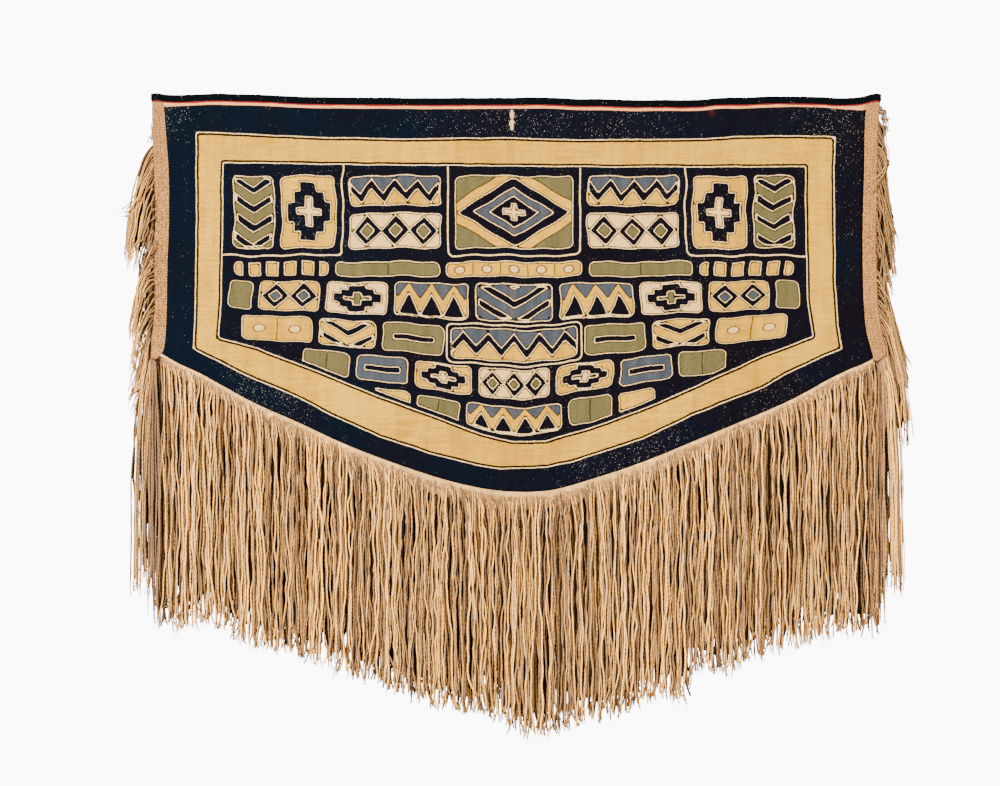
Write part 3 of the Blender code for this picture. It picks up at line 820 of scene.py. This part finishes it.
def cloth_pattern(x, z):
    """What is stored on the body's points: the colours' distances and the wear."""
    pattern = Pattern(x, z)
    border = outline(x, z, BORDER_INNER)
    field = outline(x, z, FIELD_EDGE)
    pattern.paint("black", -border)
    pattern.paint("black", field)
    pattern.frames()
    for motif in MOTIFS:
        pattern.motif(motif, field + FIELD_MARGIN)
    stored = pattern.colours
    for name in ("cream", "blue", "green"):
        stored[name] = np.where(border > -0.002, FAR, stored[name])
    stored["thread"] = pattern.thread
    stored["frame_line"] = np.where(field < 0.003, pattern.frame_line, FAR)
    stored["row"] = (top_rise(x) - CREAM_ROW_HEIGHT - np.interp(x, *CREAM_ROW_ENDS)) - z
    stored = {name: np.clip(values, -FAR, FAR) for name, values in stored.items()}
    stored["worn"] = sum(w.strength * spot(x, z, w.x, w.z, w.reach, w.reach) for w in WORN)
    stored["edge"] = np.where(field > -0.006, 1.0, 0.0)
    stored["mark"] = spot(x, z, 0.664, -0.0195, 0.0032, 0.0022)
    stored["bare"] = spot(x, z, -0.009, -0.047, 0.0060, 0.022, 4)
    stored["stain"] = 0.5 * spot(x, z, 0.431, -0.031, 0.005, 0.007)
    # A faded spot, and painted shade along the middle crease
    crease = np.exp(-(((x - CREASE_X) / 0.006) ** 2))
    stored["aged"] = crease * 0.16 + spot(x, z, -0.648, -0.547, 0.010, 0.010) * 0.8
    return stored


# Pieces of cloth

def make_body(finish):
    across = spaced(((0.078, 13), (0.922, 268), (1.0, 13)))
    upward = spaced(((0.130, 16), (0.835, 126), (1.0, 18)))
    u, v = np.meshgrid(across, upward)
    low = lower_z(CORNER_LEFT.x + u * (CORNER_RIGHT.x - CORNER_LEFT.x))
    high_x = body_left(0.0) + u * (body_right(0.0) - body_left(0.0))
    z = low + (top_rise(high_x) - UNDER_HEADING - low) * v
    x = body_left(z) + u * (body_right(z) - body_left(z))
    stored = cloth_pattern(x.reshape(-1), z.reshape(-1))
    quads = grid_quads(len(upward), len(across))
    places = (x, relief(x, z), z)
    return show_sheet("woven_cloth", places, quads, finish, "woven_body", BODY_THICK, stored)


def make_strip(side, finish):
    """A plaited side strip with a rounded, slightly raised edge and a pointed lower end."""
    rows, columns = 150, 9
    up, over = np.meshgrid(np.linspace(0, 1, rows), np.linspace(0, 1, columns), indexing="ij")
    high = top_rise(side.body_edge(0.0)) - UNDER_HEADING
    z = side.corner.z + (high - side.corner.z) * up
    inner = side.body_edge(z) - side.sign * 0.0020
    x = inner + (side.strip_edge(z) - inner) * over
    point = np.interp(over, (0.0, side.tip_share, 1.0), (0.0, side.tip_drop, -side.corner_rise))
    point = point * np.clip(1 - up * rows / 8, 0, 1)
    z = np.minimum(z - point, top_rise(x) - UNDER_HEADING)
    ripple = 0.0004 * np.sin(z * TURN / PLAIT_HIGH + over * 9.0)
    x = x + side.sign * ripple * (over > 0.9)
    quads = grid_quads(rows, columns)[:, :: side.sign]
    places = (x, relief(x, z) + 0.0004, z)
    name, node = "plaited_strip" + side.end, "side_strip" + side.end
    return show_sheet(name, places, quads, finish, node, BODY_THICK, {"across": over})


def make_heading(finish):
    """The cloth strip folded over the top edge, a little lumpy, with its left knob."""
    columns, arc = 260, 9
    left, right = strip_left(0.0) - 0.002, strip_right(0.0) + 0.002
    x = np.linspace(left, right, columns)
    out = BODY_THICK / 2 + GAP + HEADING_THICK / 2
    shoulder = -out - HEADING_THICK / 2
    turn = np.linspace(0, math.pi, arc)
    drops = np.linspace(-HEADING_DROP - HEADING_FULL, shoulder, 6)[:-1]
    profile_y = np.concatenate([np.full(5, -out), -out * np.cos(turn), np.full(5, out)])
    profile_z = np.concatenate([drops, shoulder + (out + HEADING_FULL) * np.sin(turn), drops[::-1]])
    swell = 1.0 + 0.45 * np.exp(-(((x - left - 0.010) / 0.010) ** 2))
    lump = 0.00045 * np.sin(x * 61.0) * np.sin(x * 23.0 + 1.0) + 0.0002 * np.sin(x * 310.0)
    y = relief(x, 0.0 * x)[:, None] + profile_y[None, :] * (swell + lump / out)[:, None]
    z = top_rise(x)[:, None] + profile_z[None, :] + lump[:, None]
    places = (np.broadcast_to(x[:, None], y.shape), y, z)
    quads = grid_quads(columns, len(profile_y))
    return show_sheet("heading_cloth", places, quads, finish, "heading_band", HEADING_THICK)


def make_edging(finish):
    rows, columns = 3, 240
    x = np.linspace(strip_left(0.0), strip_right(0.0), columns)
    share = np.linspace(0.0, 1.0, rows)[:, None]
    front = BODY_THICK / 2 + GAP + EDGING_THICK / 2
    wave = 0.0004 * np.sin(x * 47.0) + 0.0003 * np.sin(x * 130.0 + 2.0)
    z = top_rise(x) - HEADING_DROP - HEADING_FULL - EDGING_HEIGHT * 0.8 * (1 - share) + wave * (1 - share)
    y = relief(x, 0 * x) - front - 0.0002 * np.sin(math.pi * share)
    places = (np.broadcast_to(x, z.shape), y, z)
    return show_sheet("red_cloth_edge", places, grid_quads(rows, columns), finish, "red_edging", EDGING_THICK)


def root_height(x):
    """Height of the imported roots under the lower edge."""
    share = np.cos(math.pi / 2 * np.clip(np.abs(x) / CORNER_RIGHT.x, 0, 1))
    return 0.026 + 0.014 * share


def make_roots(finish):
    """The packed, twined roots of the bottom fringe under the lower edge."""
    rows, columns = 9, 420
    x = CORNER_LEFT.x + np.linspace(0, 1, columns) * (CORNER_RIGHT.x - CORNER_LEFT.x)
    share = np.linspace(0, 1, rows)[:, None]
    rag = 0.0022 * np.sin(x * 410.0) * np.sin(x * 97.0) + 0.0015 * np.sin(x * 233.0 + 1.0)
    z = lower_z(x) + 0.0012 - (root_height(x) + rag) * (1 - share)
    swell = 0.0010 * np.sin(x * 640.0 + share * 3.0) * (1 - share)
    places = (np.broadcast_to(x, z.shape), relief(x, lower_z(x)) + swell, z)
    stored = {"below": np.broadcast_to(1 - share, z.shape)}
    quads = grid_quads(rows, columns)
    return show_sheet("fringe_roots", places, quads, finish, "bottom_fringe", ROOT_THICK, stored)


# Yarns

def yarn_mesh(name, paths, radius, sides, shade, blond):
    """Slightly flat round yarns along paths, an array of strands, rings and places."""
    strands, rings = paths.shape[:2]
    tangent = np.gradient(paths, axis=1)
    tangent /= np.linalg.norm(tangent, axis=2, keepdims=True)
    across = np.cross(tangent, np.array([0.0, 1.0, 0.0]))
    across /= np.linalg.norm(across, axis=2, keepdims=True)
    outward = np.cross(across, tangent)
    steps = np.linalg.norm(np.diff(paths, axis=1), axis=2)
    along = np.concatenate([np.zeros((strands, 1)), np.cumsum(steps, axis=1)], axis=1)
    turn = TURN * np.arange(sides) / sides
    lobes = 1 + 0.16 * np.cos(2 * turn[None, None, :] - along[..., None] * TURN / LOBE_HIGH)
    reach = radius[..., None] * lobes
    cosine, sine = np.cos(turn), np.sin(turn)
    ring = cosine[:, None] * across[:, :, None, :] + sine[:, None] * outward[:, :, None, :]
    points = paths[:, :, None, :] + reach[..., None] * ring
    index = np.arange(strands * rings * sides).reshape(strands, rings, sides)
    following = np.roll(index, -1, axis=2)
    corners = [index[:, :-1], index[:, 1:], following[:, 1:], following[:, :-1]]
    caps = np.concatenate([index[:, 0], index[:, -1, ::-1]])
    tone = shade.reshape(strands, -1, 1)
    stored = {
        "shade": tone,
        "blond": blond[:, None, None],
        "along": along[..., None] + tone[:, :1],
        "round_x": cosine,
        "round_y": sine,
    }
    stored = {key: np.broadcast_to(values, index.shape) for key, values in stored.items()}
    return fast_mesh(name, points.reshape(-1, 3), np.stack(corners, axis=-1).reshape(-1, 4), caps, stored)


def taper(share):
    """Scale of a side yarn along its length."""
    return np.interp(share, (0.0, 0.06, 0.93, 1.0), (0.8, 1.0, 1.0, 0.5))


def bends(chance, count, rings, knots, size, keep):
    """Random soft bends along yarns, from none at the root; size is in metres."""
    walk = np.zeros((count, knots + 2))
    for knot in range(1, knots + 2):
        walk[:, knot] = keep * walk[:, knot - 1] + chance.normal(0, size, count)
    spots = np.linspace(0, knots - 1, rings)
    first = np.minimum(spots.astype(int), knots - 2)
    t = (spots - first)[None, :]
    before = walk[:, np.maximum(first - 1, 0)]
    here, there, after = (walk[:, first + step] for step in range(3))
    curve = here * 2 + (there - before) * t + (before * 2 - here * 5 + there * 4 - after) * t**2
    return (curve + (here * 3 - before - there * 3 + after) * t**3) / 2


# Layers of the bottom fringe, from the front to the back; the inner, shaded and deep looks are painted shade,
# the deep one nearly black for the gaps
LAYERS = named(
    "name count rings depth sunk radius root clump gather high wild wide short look sides tips",
    ("fringe_front", 292, 62, -0.0110, 0.30, 0.00196, 0.62, 0.015, 0.28, 0.55, 0.0022, 0.004, 0.000,
     "open", 5, 3),
    ("fringe_second", 290, 50, -0.0060, 0.35, 0.00208, 0.62, 0.014, 0.26, 0.65, 0.0021, 0.004, 0.004,
     "inner", 4, 3),
    ("fringe_third", 262, 28, -0.0010, 0.30, 0.00240, 0.62, 0.018, 0.30, 0.85, 0.0014, 0.012, 0.014,
     "shaded", 4, 0),
    ("fringe_core", 410, 11, 0.0045, 0.30, 0.00420, 1.00, 0.030, 0.00, 0.04, 0.0002, 0.010, 0.052,
     "deep", 4, 0),
    ("fringe_back", 250, 34, 0.0105, 0.30, 0.00250, 0.62, 0.018, 0.60, 0.45, 0.0018, 0.001, 0.010,
     "open", 4, 0),
)
RAGGED = 0.066
GATHER_OVER = 0.14
SLANT_OVER = 0.022


def bottom_layer(chance, layer):
    """Yarns that hang side by side under the lower edge, in loose clumps."""
    count, rings = layer.count, layer.rings
    free = layer.gather > 0
    first, last = CORNER_LEFT.x - layer.wide, CORNER_RIGHT.x + layer.wide
    pitch = (last - first) / count
    x = first + pitch * (np.arange(count) + 0.5) + chance.uniform(-0.42, 0.42, count) * pitch
    share = np.linspace(0, 1, rings) ** 1.10
    patchy = 0.52 + 0.40 * np.sin(x * 71.0 + 2.0) * np.sin(x * 29.0)
    ease_root = layer.high * np.clip(patchy + chance.uniform(-0.40, 0.40, count), 0.03, 1.0)
    start = lower_z(x) - 0.004 - root_height(x) * ease_root
    short = chance.uniform(0, 1, count) ** 2.6 * RAGGED
    tip = tip_z(x) + layer.short + short * free - chance.uniform(0, 0.012, count)
    z = start[:, None] + (tip - start)[:, None] * share[None, :]
    fall = (start - tip)[:, None] * share[None, :]

    # Clumps draw together and bend as one, and each yarn bends and strays on its own
    group = np.floor(x / layer.clump + 0.45 * np.sin(x * 57.0) + 0.3 * np.sin(x * 23.0)).astype(int)
    group -= group.min()
    middle = np.array([x[group == g].mean() if np.any(group == g) else 0.0 for g in range(group.max() + 1)])
    together = bends(chance, len(middle), rings, 8, layer.wild * 0.8, 0.85)[group]
    gather = layer.gather * chance.uniform(0.1, 1.0, len(middle))[group]
    loosened = 1 - 0.6 * np.clip((share - 0.7) / 0.3, 0, 1)
    draw = np.clip(fall / GATHER_OVER, 0, 1) * gather[:, None] * loosened
    own = bends(chance, count, rings, 13, layer.wild, 0.70)
    own = own + bends(chance, count, rings, min(26, rings // 2), layer.wild * 0.46, 0.3)
    lean = (0.0038 * np.sin(x * 26.0 + 1.0) + chance.normal(0, 0.0050, count) - 0.0040) * free
    slant = lean[:, None] * (np.exp(-fall / SLANT_OVER) - 1)
    astray = chance.normal(0, 0.0040, count)
    astray = np.where(chance.uniform(0, 1, count) > 0.92, astray * 3.6, astray)
    astray = astray[:, None] * (fall / 0.5) ** 1.3 * free
    curl = chance.normal(0, 0.0075, count)[:, None] * np.clip((share[None, :] - 0.86) / 0.14, 0, 1) ** 2
    aside = (middle[group] - x)[:, None] * draw + together + own + slant + astray + curl
    ahead = layer.depth * np.clip(fall / 0.045, layer.sunk, 1)
    y = relief(x, lower_z(x))[:, None] + ahead + bends(chance, count, rings, 9, 0.0008, 0.7)
    jitter = np.clip(chance.normal(0, 0.0022, count), -0.0030, 0.0036)
    y = y + jitter[:, None] * np.clip(fall / 0.05, 0, 1)
    thick = layer.radius * chance.uniform(0.78, 1.18, count)
    radii = thick[:, None] * np.interp(share, (0.0, 0.05, 0.96, 1.0), (layer.root, 1.0, 1.0, 0.72))
    return np.stack([x[:, None] + aside, y, z], axis=-1), radii


def shades(chance, count, middle, step, spread, least):
    """Each yarn's shade: neighbours differ by turns, and all of them by chance."""
    turns = np.where(np.arange(count) % 2, step, -step)
    return np.clip(middle + turns + chance.normal(0, spread, count), least, 1.0)


def frayed_tips(chance, name, paths, shade, each, finish, node):
    """Fine filaments that come loose at the yarns' ends."""
    ends = np.repeat(paths[:, -1], each, axis=0)
    count = len(ends)
    heading = ends - np.repeat(paths[:, -3], each, axis=0)
    heading /= np.linalg.norm(heading, axis=1, keepdims=True)
    start = ends - heading * chance.uniform(0.002, 0.016, count)[:, None]
    reach = chance.uniform(0.008, 0.021, count)[:, None, None]
    t = np.linspace(0, 1, 7)[None, :, None]
    spread = [chance.normal(0, 0.0040, count), chance.normal(0, 0.0014, count), np.zeros(count)]
    spread = np.stack(spread, axis=-1)[:, None, :]
    curl = chance.normal(0, 0.0022, count)[:, None, None] * np.array([1.0, 0.3, 0.5])
    hang = heading[:, None, :] * np.array([0.7, 0.3, 0.8])
    line = start[:, None, :] + hang * reach * t + spread * t**1.5 + curl * np.sin(t * 4.4)
    radii = chance.uniform(0.0005, 0.0009, count)[:, None] * (1 - 0.6 * t[..., 0])
    tones = np.clip(np.repeat(shade, each) + 0.15, 0, 1)
    return show(name, yarn_mesh(name, line, radii, 3, tones, np.zeros(count)), finish, node)


def make_bottom_fringe(looks):
    """Each layer of yarns is a piece, and so are its frayed tips."""
    chance = np.random.default_rng(SEED)
    node = "bottom_fringe"
    pieces = []
    for layer in LAYERS:
        paths, radii = bottom_layer(chance, layer)
        shade = shades(chance, layer.count, 0.53, 0.22, 0.21, 0.05)
        blond = np.clip(chance.normal(0.08, 0.15, layer.count), 0.0, 1.0)
        finish = looks[layer.look]
        mesh = yarn_mesh(layer.name, paths, radii, layer.sides, shade, blond)
        pieces.append(show(layer.name, mesh, finish, node))
        if layer.tips:
            name = layer.name + "_tips"
            pieces.append(frayed_tips(chance, name, paths, shade, layer.tips, finish, node))
    return pieces


# Locks of the side fringes: yarns rooted along the strip's outer edge that belly
# outwards and come together at a tip
LOCK = "root_high root_low belly_x belly_z tip_x tip_z yarns fan blond depth wild"
LOCKS_LEFT = named(
    LOCK,
    (-0.084, -0.088, -0.8035, -0.092, -0.8050, -0.103, 3, 0.002, 0.10, -0.0020, 0.0006),
    (-0.100, -0.175, -0.851, -0.245, -0.848, -0.368, 22, 0.020, 0.70, -0.0070, 0.0018),
    (-0.112, -0.200, -0.839, -0.235, -0.865, -0.290, 7, 0.008, 0.55, -0.0110, 0.0014),
    (-0.150, -0.270, -0.830, -0.290, -0.834, -0.372, 11, 0.020, 0.55, -0.0110, 0.0024),
    (-0.240, -0.370, -0.812, -0.360, -0.822, -0.430, 24, 0.012, 0.25, -0.0020, 0.0044),
    (-0.320, -0.410, -0.841, -0.420, -0.843, -0.535, 16, 0.014, 0.60, -0.0090, 0.0018),
    (-0.380, -0.470, -0.820, -0.480, -0.830, -0.545, 16, 0.012, 0.15, 0.0020, 0.0034),
    (-0.420, -0.480, -0.839, -0.530, -0.841, -0.600, 9, 0.009, 0.55, -0.0090, 0.0016),
    (-0.470, -0.545, -0.830, -0.590, -0.842, -0.688, 14, 0.012, 0.20, -0.0050, 0.0022),
    (-0.490, -0.560, -0.822, -0.600, -0.832, -0.690, 14, 0.016, 0.10, -0.0020, 0.0020),
)
LOCKS_RIGHT = named(
    LOCK,
    (-0.014, -0.038, 0.820, -0.040, 0.815, -0.080, 9, 0.005, 0.05, -0.0050, 0.0038),
    (-0.048, -0.095, 0.817, -0.120, 0.813, -0.180, 14, 0.007, 0.25, -0.0050, 0.0026),
    (-0.095, -0.125, 0.828, -0.158, 0.775, -0.228, 4, 0.003, 0.60, -0.0130, 0.0008),
    (-0.100, -0.180, 0.820, -0.220, 0.832, -0.330, 14, 0.012, 0.65, -0.0090, 0.0018),
    (-0.150, -0.270, 0.826, -0.290, 0.828, -0.390, 18, 0.018, 0.55, -0.0030, 0.0024),
    (-0.230, -0.340, 0.814, -0.340, 0.818, -0.450, 16, 0.014, 0.60, -0.0090, 0.0034),
    (-0.320, -0.430, 0.814, -0.440, 0.828, -0.520, 14, 0.012, 0.25, 0.0030, 0.0034),
    (-0.370, -0.480, 0.842, -0.520, 0.858, -0.630, 20, 0.014, 0.40, -0.0070, 0.0018),
    (-0.440, -0.550, 0.861, -0.615, 0.853, -0.760, 24, 0.028, 0.20, -0.0020, 0.0020),
)
FRONT_SHARE = 0.62
BACK_SHARE = 0.50
BACK_DEPTH = 0.0095
DEEP_DEPTH = 0.0030
DEEP_RADIUS = 0.0026
DEEP_YARNS = 20
SIDE_RADIUS = 0.00162
LONG_YARNS = 62

# What differs between the sides: the strip's edges and pointed lower end, the locks, and
# where the long yarns under the strip start and spread to
SIDES = named(
    "sign end corner body_edge strip_edge tip_share tip_drop corner_rise locks "
    "inner outer spread_in spread_out low rise",
    (-1, "_left", CORNER_LEFT, body_left, strip_left, 0.48, 0.012, 0.0, LOCKS_LEFT,
     -0.7925, -0.8125, -0.784, -0.842, -0.5790, 0.0125),
    (1, "_right", CORNER_RIGHT, body_right, strip_right, 0.34, 0.006, 0.012, LOCKS_RIGHT,
     0.796, 0.816, 0.788, 0.850, -0.5822, 0.0180),
)


def bezier(spots, t):
    """A smooth curve that starts and ends at the first and last of its spots."""
    spots = [spot[:, None] + 0 * t for spot in spots]
    while len(spots) > 1:
        spots = [a + (b - a) * t for a, b in zip(spots, spots[1:])]
    return spots[0]


def lock_paths(chance, side, lock, rings, share=1.0):
    """Paths of one lock's yarns, from root to tip through the belly."""
    count = max(2, round(lock.yarns * share))
    order = (np.arange(count) + chance.uniform(0.1, 0.9, count)) / count
    root_z = lock.root_high + (lock.root_low - lock.root_high) * order
    root_x = side.strip_edge(root_z) - side.sign * 0.001
    belly_x = lock.belly_x - side.sign * order * lock.fan * 1.1 + chance.normal(0, 0.0022, count)
    belly_z = lock.belly_z + chance.normal(0, 0.012, count)
    tip_x = lock.tip_x - side.sign * (order - 0.5) * lock.fan * 0.8 + chance.normal(0, 0.003, count)
    tip_height = lock.tip_z + chance.uniform(-0.010, 0.050, count)
    near_x = root_x + (belly_x - root_x) * 0.55
    near_z = root_z + (belly_z - root_z) * 0.22
    t = np.linspace(0, 1, rings)[None, :]
    x = bezier([root_x, near_x, belly_x, (belly_x + tip_x) / 2, tip_x], t)
    z = bezier([root_z, near_z, belly_z, (belly_z + tip_height) / 2, tip_height], t)
    x = x + bends(chance, count, rings, 8, lock.wild, 0.6)
    z = z + bends(chance, count, rings, 8, lock.wild * 0.6, 0.5)
    depth = (lock.depth + chance.normal(0, 0.0020, count))[:, None] * np.clip(t / 0.15, 0, 1)
    y = relief(root_x, root_z)[:, None] + depth + bends(chance, count, rings, 7, 0.0009, 0.6)
    return np.stack([x, y, z], axis=-1)


def shaded_side_paths(chance, side, count, rings):
    """Yarns deep in the side fringe, that hang close to the strip."""
    root_z = -0.115 - 0.430 * (np.arange(count) + 0.5) / count
    tip_height = np.maximum(root_z - 0.200, -0.640) + chance.normal(0, 0.012, count)
    root_x = side.strip_edge(root_z) - side.sign * 0.001
    off = side.sign * chance.uniform(0.003, 0.017, count)
    t = np.linspace(0, 1, rings)[None, :]
    x = bezier([root_x, root_x + off, root_x + off, root_x + off * 1.1], t)
    z = root_z[:, None] + (tip_height - root_z)[:, None] * t
    x = x + bends(chance, count, rings, 5, 0.0012, 0.6)
    depth = (0.0045 + chance.normal(0, 0.0012, count))[:, None] * (t > 0.05)
    return np.stack([x, relief(root_x, root_z)[:, None] + depth, z], axis=-1)


def long_side_paths(chance, side, count, rings):
    """The long yarns under a side strip's lower end."""
    order = (np.arange(count) + 0.5) / count
    root_x = side.inner + (side.outer - side.inner) * order
    root_z = side.low + side.rise * order
    astray = np.clip(chance.normal(0, 0.005, count), -0.007, 0.007)
    tip_x = side.spread_in + (side.spread_out - side.spread_in) * order + astray
    middle_x = tip_x * 0.88 + root_x * 0.12 + chance.normal(0, 0.002, count)
    tip = np.where(order > 0.3, -1.085, -1.145) + chance.uniform(-0.014, 0.06, count)
    t = np.linspace(0, 1, rings)[None, :] ** 1.4
    x = bezier([root_x, root_x * 0.05 + middle_x * 0.95, middle_x, middle_x, tip_x], t)
    z = root_z[:, None] + (tip - root_z)[:, None] * t
    x = x + bends(chance, count, rings, 12, 0.0017, 0.66)
    depth = np.array([-0.0085, 0.0005, 0.0095])[np.arange(count) % 3] + chance.normal(0, 0.0012, count)
    y = relief(root_x, root_z)[:, None] + depth[:, None] * np.clip(t / 0.1, 0, 1)
    return np.stack([x, y + bends(chance, count, rings, 8, 0.0008, 0.7), z], axis=-1)


def front_side_yarns(chance, side, looks, node):
    """The yarns that show, front and back, and their frayed tips."""
    rings = 32
    sets = []
    blonds = []
    for lock in side.locks:
        behind = lock._replace(depth=BACK_DEPTH)
        for part, share in ((lock, FRONT_SHARE), (behind, BACK_SHARE)):
            sets.append(lock_paths(chance, side, part, rings, share))
            blonds.append(np.full(len(sets[-1]), lock.blond))
    sets.append(long_side_paths(chance, side, LONG_YARNS, rings))
    blonds.append(np.full(LONG_YARNS, 0.05))
    paths = np.concatenate(sets)
    count = len(paths)
    along = np.linspace(0, 1, rings)
    thick = SIDE_RADIUS * chance.uniform(0.65, 1.30, count)
    thick[-LONG_YARNS:] *= 1.20
    shade = shades(chance, count, 0.50, 0.19, 0.20, 0.03)

    # Painted shade: darker beside the strip and at the roots, where the strip shades them, with a dark line
    # at the long yarns' roots under the strip's lower end
    off_strip = np.abs(paths[:, rings // 3, 0]) - 0.797
    shadow = np.interp(off_strip, (0.0, 0.024), (0.25, 1.0))
    root_shade = np.ones((count, 1)) * np.interp(along, (0.0, 0.16, 0.45), (0.30, 0.45, 1.0))
    root_shade[-LONG_YARNS:] = np.interp(along, (0.0, 0.05), (0.08, 1.0))
    blond = np.clip(np.concatenate(blonds) + chance.normal(0, 0.15, count), 0, 1) * shadow * 0.8
    name = "side_yarns" + side.end
    tones = (shade * shadow)[:, None] * root_shade
    mesh = yarn_mesh(name, paths, thick[:, None] * taper(along), 5, tones, blond)
    tips = "side_yarn_tips" + side.end
    pieces = [show(name, mesh, looks["open"], node)]
    return pieces + [frayed_tips(chance, tips, paths, shade, 2, looks["open"], node)]


def deep_side_yarns(chance, side, looks, node):
    """Nearly black yarns between the front and the back: painted shade in the side fringe's gaps."""
    rings = 16
    sets = [shaded_side_paths(chance, side, 44, rings)]
    for lock in side.locks:
        if lock.yarns > 9:
            drawn_in = {
                "belly_x": lock.belly_x - side.sign * 0.005,
                "tip_x": lock.tip_x - side.sign * 0.011,
                "tip_z": lock.tip_z + 0.040,
            }
            shaded = lock._replace(yarns=DEEP_YARNS, depth=DEEP_DEPTH, wild=0.0008, **drawn_in)
            sets.append(lock_paths(chance, side, shaded, rings))
    behind = long_side_paths(chance, side, 16, rings)
    behind[:, :, 0] -= side.sign * 0.0050 * np.linspace(0, 1, rings)
    behind[::2, :, 0] -= side.sign * 0.0115
    behind[:, 0, 2] += 0.012
    behind[:, :, 1] = DEEP_DEPTH + relief(behind[:, :, 0], behind[:, :, 2])
    behind[:, :, 2] = behind[:, :1, 2] + (behind[:, :, 2] - behind[:, :1, 2]) * 0.80
    paths = np.concatenate(sets + [behind])
    count = len(paths)
    radii = DEEP_RADIUS * taper(np.linspace(0, 1, rings)) * np.ones((count, 1))
    name = "side_yarns_deep" + side.end
    mesh = yarn_mesh(name, paths, radii, 4, np.full(count, 0.5), np.zeros(count))
    return show(name, mesh, looks["deep"], node)


def make_side_fringe(side, looks):
    """One side's locks and long yarns."""
    chance = np.random.default_rng(SEED + 5 + side.sign)
    node = "side_fringe" + side.end
    pieces = front_side_yarns(chance, side, looks, node)
    return pieces + [deep_side_yarns(chance, side, looks, node)]


# Stage, light and camera

LIGHTS = named(
    "name place size power",
    ("key_light", (-4.2, -4.6, 2.4), 1.3, 1700.0),
    ("fill_light", (3.4, -5.0, 1.2), 3.0, 500.0),
    ("back_light", (1.8, 5.0, 2.0), 3.0, 420.0),
)


def make_stage():
    bpy.ops.mesh.primitive_plane_add(size=7.0, location=(0.0, 0.0, FLOOR_Z))
    floor = bpy.context.object
    floor.name = "studio_floor"
    finish = Finish("pale_floor", None, Roughness=0.8)
    tone = finish.noise(finish.places()[0], 1.5)
    finish.colour(finish.mix(tone, FLOOR_PALE, FLOOR_PALER))
    floor.data.materials.append(finish.material)


def make_world():
    """A bright plain surround, and a dimmer one for what it lights."""
    world = bpy.data.worlds.new("studio")
    bpy.context.scene.world = world
    world.use_nodes = True
    tree = world.node_tree
    lit = tree.nodes["Background"]
    seen = tree.nodes.new("ShaderNodeBackground")
    lit.inputs["Color"].default_value = (1.0, 0.985, 0.97, 1.0)
    lit.inputs["Strength"].default_value = SURROUND_LIT
    seen.inputs["Color"].default_value = (1.0, 0.975, 1.0, 1.0)
    seen.inputs["Strength"].default_value = SURROUND_SEEN
    path = tree.nodes.new("ShaderNodeLightPath")
    mix = tree.nodes.new("ShaderNodeMixShader")
    tree.links.new(path.outputs["Is Camera Ray"], mix.inputs[0])
    tree.links.new(lit.outputs[0], mix.inputs[1])
    tree.links.new(seen.outputs[0], mix.inputs[2])
    tree.links.new(mix.outputs[0], tree.nodes["World Output"].inputs["Surface"])


def make_light(row):
    data = bpy.data.lights.new(row.name, "AREA")
    data.shape = "SQUARE"
    data.size = row.size
    data.energy = row.power
    light = bpy.data.objects.new(row.name, data)
    bpy.context.scene.collection.objects.link(light)
    light.location = row.place
    aim = Vector((0.0, 0.0, -0.6)) - Vector(row.place)
    light.rotation_euler = aim.to_track_quat("-Z", "Y").to_euler()


def make_camera():
    data = bpy.data.cameras.new("camera")
    data.sensor_width = SENSOR
    data.lens = SENSOR * CAMERA_AWAY / (IMAGE_WIDTH * METRES_PER_PIXEL)
    data.clip_end = 60.0
    camera = bpy.data.objects.new("camera", data)
    bpy.context.scene.collection.objects.link(camera)
    camera.location = (VIEW_MIDDLE_X, -CAMERA_AWAY, VIEW_MIDDLE_Z)
    camera.rotation_euler = (math.pi / 2, 0.0, 0.0)
    bpy.context.scene.camera = camera


def main():
    make_camera()
    make_world()
    for row in LIGHTS:
        make_light(row)
    make_stage()

    strip = strip_finish()
    # Darker copies of the yarn finish: painted shade for the yarns deeper in the fringes
    looks = {
        "open": yarn_finish("fringe_yarn", 1.0),
        "inner": yarn_finish("fringe_yarn_half_shade", 0.76),
        "shaded": yarn_finish("fringe_yarn_shaded", 0.30),
        "deep": yarn_finish("fringe_yarn_deep_shade", 0.05),
    }
    cloth = make_body(weave_finish())
    heading = make_heading(heading_finish())
    edging = make_edging(edging_finish())
    strips = [make_strip(side, strip) for side in SIDES]
    roots = make_roots(root_finish())
    bottom = make_bottom_fringe(looks)
    sides = [make_side_fringe(side, looks) for side in SIDES]


main()
